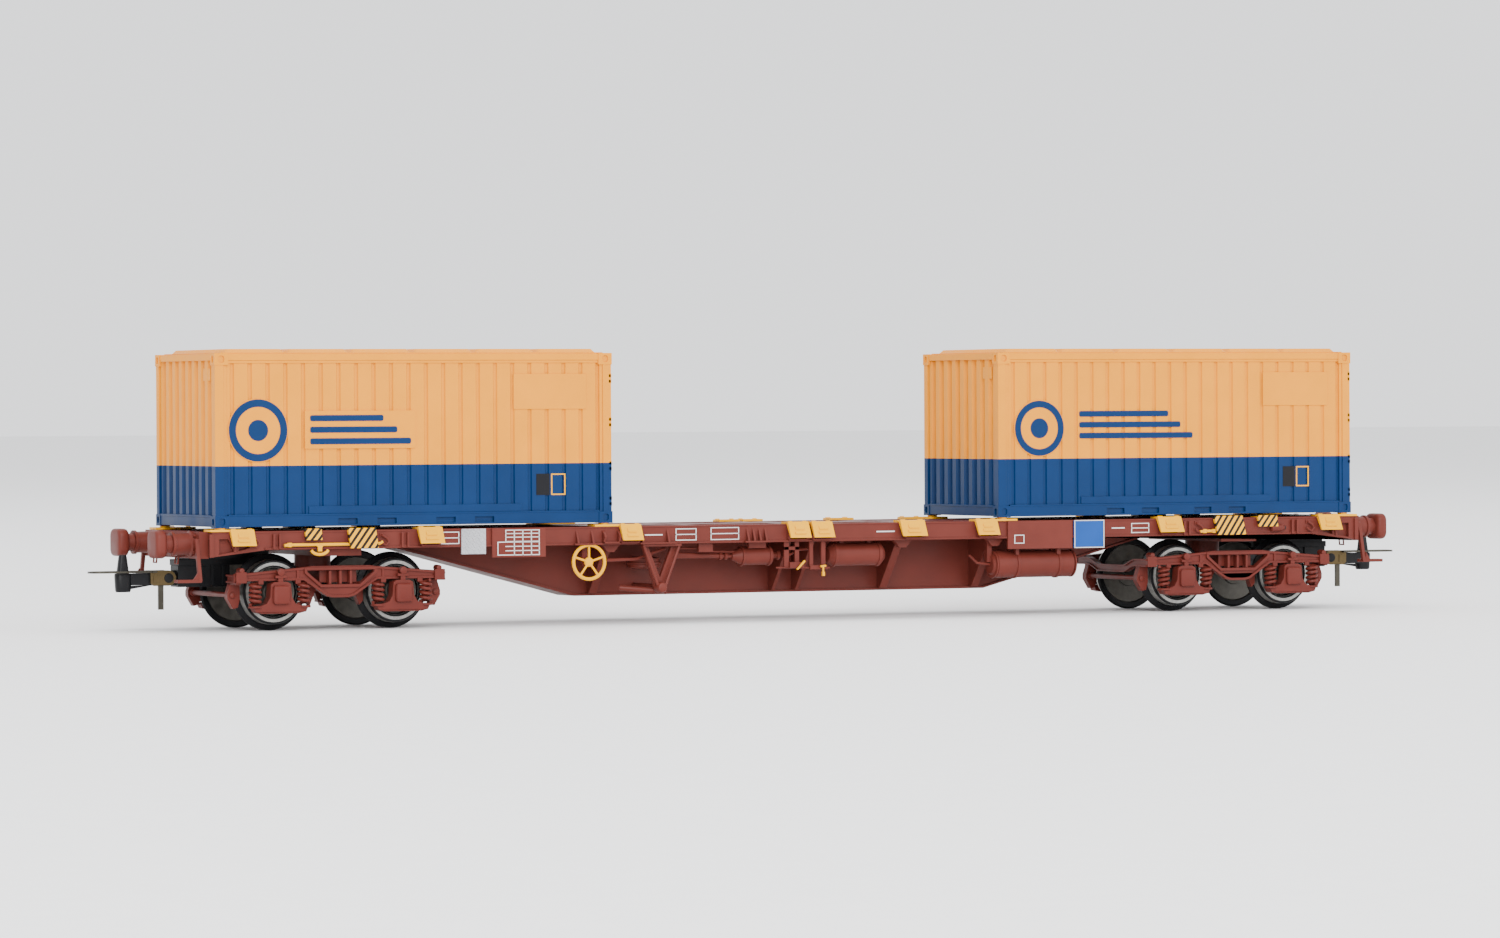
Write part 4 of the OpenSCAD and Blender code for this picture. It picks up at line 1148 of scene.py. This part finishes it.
def coupler(end, side):
    body = f"coupler_{end}"
    hook, bar, bow = coupler_hook(), coupler_drawbar(), coupler_bow()
    for part in (hook, bar, bow):
        part.verts = [(side * x, y, z) for x, y, z in part.verts]
    make(f"{body}_hook_shaped", body, hook, [black_plastic], bevel=0.05, replaces=[f"{body}_hook"])
    make(f"{body}_drawbar_shaped", body, bar, [black_plastic], bevel=0.06,
         replaces=[f"{body}_drawbar"])
    make(f"{body}_loop_shaped", f"{body}_bow", bow, [loop_steel, brass, black_plastic], bevel=0.03,
         replaces=[f"{body}_loop"])


# ---- containers, drawn about their own middle with the foot at zero

PAINT_LEVEL = 9.9
cont_h = cast_high.z - cast_low.z
half_l = (cast_high.x - cast_low.x) / 2
half_w = cast_high.y
RAIL_TOP = 2.1
RAIL_LOW = cont_h - 1.15
POST = 1.6


def corrugated(start, end, first, pitch, face, wall, depth, flat, slope):
    """The outline of a sheet with grooves, in plan: along the wall and out from it."""
    points = [(start, face)]
    at = first
    while at + flat / 2 + slope < end:
        if at - flat / 2 - slope > start:
            points += [(at - flat / 2 - slope, face), (at - flat / 2, face + depth),
                       (at + flat / 2, face + depth), (at + flat / 2 + slope, face)]
        at += pitch
    points += [(end, face), (end, face + wall), (start, face + wall)]
    return points


def container_sides(ring, ring_r):
    """Both side walls with their rails and posts, and the raised plates."""
    part = Solid()
    face = -half_w + 0.42
    part.prism(corrugated(-half_l + POST, half_l - POST, -31.65, 3.05, face, 0.8, 0.32, 0.42, 0.16), Z,
               RAIL_TOP - 0.2, RAIL_LOW + 0.2)
    pockets = [rectangle(x, x + 3.35, 0.4, 1.3) for x in (-13.65, -6.85, 3.5, 10.3)]
    rail_l = half_l - 2.3
    part.prism(rectangle(-rail_l, rail_l, 0.1, RAIL_TOP), Y, -half_w + 0.12, -half_w + 0.55, holes=pockets)
    part.block((-rail_l, -half_w + 0.55, 0.1), (rail_l, -half_w + 1.3, RAIL_TOP))
    part.block((-rail_l, -half_w + 0.06, RAIL_TOP - 0.28), (rail_l, -half_w + 0.4, RAIL_TOP))
    part.block((-18.65, face - 0.2, RAIL_TOP), (18.65, face + 0.1, RAIL_TOP + 1.25))
    part.block((-rail_l, -half_w + 0.12, RAIL_LOW), (rail_l, -half_w + 1.3, cont_h - 0.1))
    part.block((-rail_l, -half_w + 0.26, RAIL_LOW - 0.45), (rail_l, -half_w + 0.8, RAIL_LOW))
    for s in (-1, 1):
        low_x, high_x = sorted((s * (half_l - 0.1), s * (half_l - POST)))
        part.block((low_x, -half_w + 0.1, 1.85), (high_x, -half_w + 1.4, cont_h - 1.85))
        low_x, high_x = sorted((s * (half_l - POST), s * (half_l - POST - 0.55)))
        part.block((low_x, -half_w + 0.26, 1.9), (high_x, -half_w + 1.0, cont_h - 1.9))
    part.block((17.3, face - 0.16, 18.8), (30.3, face + 0.1, 24.6))
    part.prism(circle(ring, ring_r + 0.15, 64), Y, face - 0.14, face + 0.1)
    part.copied(lambda v: (-v[0], -v[1], v[2]))
    return part


def container_marks(plaque, ring, ring_r):
    """Plain blue marks: a ring with a dot, and three bars, with two square patches."""
    part = Solid()
    face = -half_w + 0.42
    mark_face = face - (0.28 if plaque else 0.05)
    if plaque:
        part.block((-19.3, face - 0.24, 12.6), (-0.1, face + 0.1, 18.7), 3)
    disc = face - 0.14
    part.prism(circle(ring, ring_r, 64), Y, disc - 0.05, disc + 0.02, 0, [circle(ring, ring_r * 0.76, 64)])
    part.prism(circle(ring, 1.7, 40), Y, disc - 0.05, disc + 0.02, 0)
    x0, x1 = (-18.4, -0.9) if plaque else (-18.9, 3.3)
    z0, z1 = (13.3, 18.0)
    bars = 3
    gap = 0.9
    height = (z1 - z0 - gap * (bars - 1)) / bars
    for k in range(bars):
        z = z0 + k * (height + gap)
        part.prism(rounded(x1 - x0 - k * 2.4, height, 0.3, ((x0 + x1 - k * 2.4) / 2, z + height / 2), 3), Y,
                   mark_face - 0.04, mark_face + 0.1)
    part.block((21.3, face - 0.05, 4.7), (23.7, face + 0.35, 8.2), 1)
    part.prism(rectangle(23.95, 26.5, 4.7, 8.2), Y, face - 0.05, face + 0.05, 2, [rectangle(24.15, 26.3, 4.9, 8.0)])
    part.copied(lambda v: (-v[0], -v[1], v[2]))
    return part


def container_end():
    """The closed end towards -X: deep ribs between the posts, with two rails."""
    part = Solid()
    face = -half_l + 0.38
    inner = half_w - POST
    plan = corrugated(-inner, inner, -10.65, 3.05, face, 1.1, 0.6, 1.2, 0.22)
    part.prism([(along, out) for out, along in plan], Z, RAIL_TOP - 0.3, RAIL_LOW + 0.2)
    part.block((-half_l + 0.12, -half_w + 2.0, 0.15), (-half_l + 1.3, half_w - 2.0, RAIL_TOP - 0.1))
    part.block((-half_l + 0.05, -half_w + 2.0, RAIL_TOP - 0.45), (-half_l + 0.4, half_w - 2.0, RAIL_TOP - 0.1))
    part.block((-half_l + 0.12, -half_w + 2.0, RAIL_LOW), (-half_l + 1.3, half_w - 2.0, cont_h - 0.1))
    part.block((-half_l + 0.42, -half_w + 3.2, 23.6), (-half_l + 0.7, -half_w + 6.4, 25.6))
    return part


def container_doors():
    """The doors towards +X: panelled leaves, lock rods, handles and hinges."""
    part = Solid()
    face = half_l - 0.45
    inner = half_w - POST
    low, high = RAIL_TOP - 0.3, RAIL_LOW + 0.1
    for s in (-1, 1):
        a, b = sorted((s * 0.12, s * (inner - 0.1)))
        part.block((face - 0.75, a, low), (face - 0.25, b, high))
        holes = [rectangle(min(a, b) + 0.6, max(a, b) - 0.6, z0, z1) for z0, z1 in ((2.9, 9.3), (10.3, 17.3),
                                                                                  (18.3, 25.6))]
        part.prism(rectangle(a, b, low, high), X, face - 0.3, face, 0, holes)
        for y in (s * 3.4, s * 8.9):
            part.rod(X, (y, 1.5), 0.35, face, face + 0.3, 12)
            part.tube([(face + 0.22, y, 1.0), (face + 0.22, y, cont_h - 1.0)], 0.2)
            for z in (1.3, 6.5, 13.8, 21.0, cont_h - 1.3):
                part.block((face - 0.1, y - 0.45, z - 0.3), (face + 0.38, y + 0.45, z + 0.3))
            part.tube([(face + 0.3, y, 9.7), (face + 0.38, y + s * 0.8, 9.9), (face + 0.38, y + s * 2.4, 9.9)], 0.16)
        for z in (3.6, 9.4, 16.6, 23.8):
            for dz in (-0.45, 0.45):
                a, b = sorted((s * (inner - 0.5), s * (half_w - 0.1)))
                part.block((face - 0.1, a, z + dz - 0.28), (face + 0.42, b, z + dz + 0.28))
            part.rod(Z, (face + 0.2, s * (half_w - 0.35)), 0.26, z - 0.9, z + 0.9, 10)
    part.block((half_l - 1.3, -half_w + 2.0, 0.15), (half_l - 0.15, half_w - 2.0, RAIL_TOP - 0.2))
    part.block((half_l - 1.3, -half_w + 2.0, RAIL_LOW), (half_l - 0.15, half_w - 2.0, cont_h - 0.1))
    return part


def container_roof():
    """A flat roof with shallow pressed panels that stand over the rails."""
    part = Solid()
    top = roof_top - cast_low.z
    long = half_l - 1.3
    wide = half_w - 0.75
    part.block((-long, -wide, cont_h - 1.2), (long, wide, cont_h + 0.12))
    count = 6
    pitch = 2 * (long - 0.7) / count
    for k in range(count):
        x = -long + 0.7 + (k + 0.5) * pitch
        part.loft(Z, [
            (rounded(pitch - 0.5, 2 * wide - 1.0, 0.8, (x, 0), 3), cont_h + 0.1),
            (rounded(pitch - 1.5, 2 * wide - 2.4, 0.6, (x, 0), 3), top),
        ])
    return part


def container_castings():
    """Eight hollow corner castings with the slots and holes that lifting gear uses."""
    part = Solid()
    l, w, h, t = 2.4, 2.0, 1.9, 0.35
    for base in (0, cont_h - h):
        corner = Solid()
        slot = rounded(1.0, 1.15, 0.4, (half_l - l / 2, base + h / 2), 4)
        plate = rectangle(half_l - l, half_l, base, base + h)
        corner.prism(plate, Y, half_w - t + 0.1, half_w, holes=[slot])
        corner.prism(plate, Y, half_w - t, half_w - t + 0.1)
        slot = rounded(0.9, 1.15, 0.4, (half_w - w / 2, base + h / 2), 4)
        plate = rectangle(half_w - w, half_w - t, base, base + h)
        corner.prism(plate, X, half_l - t + 0.1, half_l, holes=[slot])
        corner.prism(plate, X, half_l - t, half_l - t + 0.1)
        for z in (base, base + h - t):
            corner.prism(rectangle(half_l - l, half_l - t, half_w - w, half_w - t), Z, z, z + t,
                         holes=[circle((half_l - 1.2, half_w - 1.0), 0.62, 20)])
        corner.block((half_l - l, half_w - w, base + t), (half_l - l + t, half_w - t, base + h - t))
        corner.block((half_l - l + t, half_w - w, base + t), (half_l - t, half_w - w + t, base + h - t))
        part.add(corner.verts, corner.faces)
    part.mirrored(Y)
    part.mirrored(X)
    return part


def container(end):
    body = f"container_{end}"
    low, high = box_mm(f"{body}_castings")
    base = low.z
    offset = ((low.x + high.x) / 2, 0, base)
    paint = two_tone(f"{body}_paint", DEEP_BLUE, ORANGE_YELLOW, base + PAINT_LEVEL, 0.40)
    plaque = end == "a"
    ring, ring_r = ((-27.3, 15.6), 5.0) if plaque else ((-26.7, 15.1), 4.7)
    prints = [mark_blue, print_black, signal_yellow, paint]
    for name, part, mats, slot, bevel, nodes in (
        ("corrugated_sides", container_sides(ring, ring_r), [paint], "container_yellow", 0.05, ["side_walls"]),
        ("marks", container_marks(plaque, ring, ring_r), prints, "container_blue", 0, []),
        ("ribbed_end", container_end(), [paint], "container_yellow", 0.06, ["end_wall"]),
        ("panelled_doors", container_doors(), [paint], "container_yellow", 0.05, ["doors"]),
        ("pressed_roof", container_roof(), [paint], "container_yellow", 0.06, ["roof"]),
        ("corner_castings", container_castings(), [paint], "container_blue", 0.06, ["castings"]),
    ):
        make(f"{body}_{name}", body, part.moved(offset), mats, bevel=bevel,
             replaces=[f"{body}_{node}" for node in nodes])


# ---- carried-over nodes, stage and camera

def paint_cad_nodes():
    """Gives each node that stays visible its finish."""
    finishes = {
        frame_red: ["centre_girder", "cross_ribs", "headstocks", "bolsters", "brake_hangers", "brake_cylinder",
                    "air_tanks"],
        signal_yellow: ["spigot_plates"],
        hazard: ["warning_flaps"],
        panel_red: ["red_panels"],
        sign_blue: ["blue_panels"],
        black_plastic: ["coupler_guides"],
        bogie_red: ["bogie_a_bolster", "bogie_b_bolster"],
        axle_steel: ["axle_a1", "axle_a2", "axle_b1", "axle_b2"],
        mark_blue: ["container_a_floor", "container_b_floor"],
    }
    for mat, nodes in finishes.items():
        for node in nodes:
            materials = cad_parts[node].data.materials
            materials.clear()
            materials.append(mat)


def add_camera():
    camera = bpy.data.objects.new("camera", bpy.data.cameras.new("camera"))
    bpy.context.collection.objects.link(camera)
    yaw = 0.4421
    pitch = 0.0098
    roll = -0.0052
    forward = Vector((math.sin(yaw) * math.cos(pitch), math.cos(yaw) * math.cos(pitch), -math.sin(pitch)))
    right = Vector((math.cos(yaw), -math.sin(yaw), 0))
    up = right.cross(forward)
    rolled_right = right * math.cos(roll) + up * math.sin(roll)
    rolled_up = up * math.cos(roll) - right * math.sin(roll)
    turn = Matrix((rolled_right, rolled_up, -forward)).transposed()
    camera.matrix_world = Matrix.Translation((-0.4413, -0.9235, 0.0353)) @ turn.to_4x4()
    camera.data.lens = 144.87
    camera.data.sensor_width = 36
    camera.data.clip_start = 0.01
    bpy.context.scene.camera = camera


def area_light(name, energy, size, location):
    light = bpy.data.objects.new(name, bpy.data.lights.new(name, "AREA"))
    light.data.energy = energy
    light.data.size = size
    light.location = location
    light.rotation_euler = (Vector((0, 0, 0.02)) - Vector(location)).to_track_quat("-Z", "Y").to_euler()
    bpy.context.collection.objects.link(light)


def add_stage():
    mesh = bpy.data.meshes.new("floor")
    mesh.from_pydata([(-8, -8, 0), (8, -8, 0), (8, 8, 0), (-8, 8, 0)], [], [(0, 1, 2, 3)])
    mesh.materials.append(finish("floor_white", (0.86, 0.86, 0.86), 0.8, mottle=0.01, grain=0.0))
    floor = bpy.data.objects.new("floor", mesh)
    bpy.context.collection.objects.link(floor)
    area_light("key", 34, 1.2, (-0.5, -1.4, 0.7))
    area_light("fill", 10, 1.4, (1.1, -1.1, 0.5))
    area_light("top", 14, 1.4, (0.1, 0.3, 1.5))
    world = bpy.data.worlds.new("world")
    world.use_nodes = True
    background = world.node_tree.nodes["Background"]
    background.inputs["Color"].default_value = (0.97, 0.98, 1.0, 1)
    background.inputs["Strength"].default_value = 1.7
    bpy.context.scene.world = world


add_camera()
add_stage()
paint_cad_nodes()
for build in (sole_bars, side_fittings, deck, girder_trim, rib_flanges, flap_pads, chequer_plates, blank_frames,
              hand_wheels, hook_bars, brake_gear, tank_bands, small_levers, buffers, headstock_trim, corner_steps):
    build()
for end, side in ENDS.items():
    bogie(end, side)
    for number in (1, 2):
        wheel_pair(end, number)
    coupler(end, side)
    container(end)
